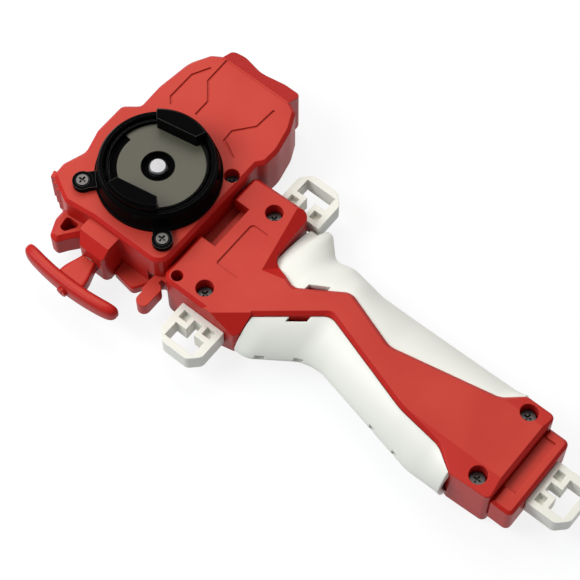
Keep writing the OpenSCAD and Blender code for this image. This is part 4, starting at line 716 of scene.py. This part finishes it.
def add_pad(name, stands_for, front, holes, notch, **outline):
    """One pad half as a skin with holes, given its wall inwards and a small radius on its rims. The
    notch is a place along the grip, half a length and a depth from the shell's edge."""
    points, v = pad_skin(front=front, **outline)
    middle = v[:-1, :-1] + np.diff(v, axis=0)[:, :-1] / 2
    low = np.abs(points[..., 2] - SEAM_Z)[1:, 1:] < HOLE_TOP
    keep = np.ones(middle.shape, bool)
    if holes:
        from_hole = np.abs(middle[..., None] - np.array(holes)).min(-1)
        keep &= ~((from_hole < HOLE_HALF_LEN) & low)
    notch_at, notch_half_len, notch_depth = notch
    from_shell = np.abs(points[..., 0] - points[:, :1, 0])[:-1, :-1]
    keep &= ~((np.abs(middle - notch_at) < notch_half_len) & (from_shell < notch_depth))
    quads = grid_quads(PAD_ROWS, PAD_COLS)[keep.ravel()]
    # The finger side runs the other way across, so one flat cell shows which way the faces look
    normal = np.cross(points[1, 5] - points[0, 5], points[0, 6] - points[0, 5])
    if (normal[2] > 0) == front:
        quads = quads[:, ::-1]
    pad = add_piece(name, points, quads.tolist(), "ivory_pad", "frame", [stands_for])
    wall = pad.modifiers.new("wall", "SOLIDIFY")
    wall.thickness, wall.offset = PAD_WALL * MM, -1
    rim = pad.modifiers.new("rim_radius", "BEVEL")
    rim.width, rim.segments = RIM_R * MM, 2
    rim.limit_method, rim.angle_limit = "ANGLE", RIM_ANGLE


# A dip is a line of (place along the grip, how far the top is lowered there)
PADS = {
    "finger": dict(edge=FINGER_EDGE, bulge=FINGER_BULGE, dip=[(0, 0), (1, 0)], gap=-0.15,
                   ends=(31.3, 111.2), fullness=1.4, holes=SEAM_HOLES, notch=(43.0, 2.7, 1.7)),
    "palm": dict(edge=PALM_EDGE, bulge=PALM_BULGE, dip=[(24.1, 1.8), (36.7, 0)], gap=0.15,
                 ends=(24.1, 114.8), fullness=1.6, holes=(), notch=(41.2, 2.8, 1.5)),
}
for face_name, is_front in (("front", True), ("back", False)):
    for rest, shape in PADS.items():
        add_pad(rest + "_rest_" + face_name, rest + "_pad_" + face_name, is_front, **shape)

# %% [markdown]
# ## Floor, lights and background
# The photograph is a product shot on white with hardly a shadow. A floor that is lit to pure
# white would need lamps that wash out the object, so the floor's colour is mixed with a white
# glow that only camera, mirror and glass rays see: it looks white, still takes a faint shadow,
# and adds no light of its own to the object.

# %% Floor
FLOOR_HALF_M, FLOOR_Z_M = 9.0, -0.0002
FLOOR_GREY, GLOW_STRENGTH, GLOW_SHARE = 0.5, 1.2, 0.7

scene = bpy.context.scene
scene.view_settings.view_transform = "Standard"
corners = np.array([[-1, -1], [1, -1], [1, 1], [-1, 1]]) * FLOOR_HALF_M
floor_points = np.column_stack([corners, np.full(4, FLOOR_Z_M)])
floor_mesh = bpy.data.meshes.new("floor")
floor_mesh.from_pydata(floor_points.tolist(), [], [[0, 1, 2, 3]])
floor = bpy.data.objects.new("floor", floor_mesh)
scene.collection.objects.link(floor)

paper = bpy.data.materials.new("white_floor")
paper.use_nodes = True
tree = Tap(paper.node_tree)
sheet = paper.node_tree.nodes["Principled BSDF"]
sheet.inputs["Base Color"].default_value = (FLOOR_GREY, FLOOR_GREY, FLOOR_GREY, 1)
sheet.inputs["Roughness"].default_value = 0.9
sheet.inputs["Specular IOR Level"].default_value = 0.0
glow = tree.node("ShaderNodeEmission", None, {"Color": (1, 1, 1, 1), "Strength": GLOW_STRENGTH})
camera_ray = tree.node("ShaderNodeLightPath", out=0)
mirror_ray = tree.node("ShaderNodeLightPath", out=3)
glass_ray = tree.node("ShaderNodeLightPath", out=6)
seen = tree.math("MINIMUM", camera_ray + mirror_ray + glass_ray, 1.0) * GLOW_SHARE
lit = Tap(paper.node_tree, sheet.outputs[0])
both = tree.node("ShaderNodeMixShader", None, {0: seen, 1: lit, 2: glow})
surface = paper.node_tree.nodes["Material Output"].inputs["Surface"]
paper.node_tree.links.new(both.socket, surface)
floor_mesh.materials.append(paper)
print("floor:", 2 * FLOOR_HALF_M, "m wide")

# %% Sky and lamps
SKY_COLOUR, SKY_STRENGTH = (0.92, 0.95, 1.0, 1), 0.34
AIM_M = (0, -0.06, 0.02)

world = bpy.data.worlds.new("studio")
world.use_nodes = True
background = world.node_tree.nodes["Background"]
background.inputs["Color"].default_value = SKY_COLOUR
background.inputs["Strength"].default_value = SKY_STRENGTH
scene.world = world


def soft_box(name, place, size, power, colour):
    """A square area light at place, in metres, that faces the middle of the object."""
    lamp = bpy.data.lights.new(name, "AREA")
    lamp.shape, lamp.size, lamp.energy, lamp.color = "SQUARE", size, power, colour
    box = bpy.data.objects.new(name, lamp)
    box.location = place
    box.rotation_mode = "QUATERNION"
    box.rotation_quaternion = (Vector(AIM_M) - Vector(place)).to_track_quat("-Z", "Y")
    scene.collection.objects.link(box)


soft_box("key_left", (-0.47, 0.52, 0.8), size=0.6, power=9.5, colour=(0.93, 0.97, 1.0))
soft_box("sky_behind", (0.55, 0.5, 1.1), size=1.0, power=10.5, colour=(1.0, 0.97, 0.93))
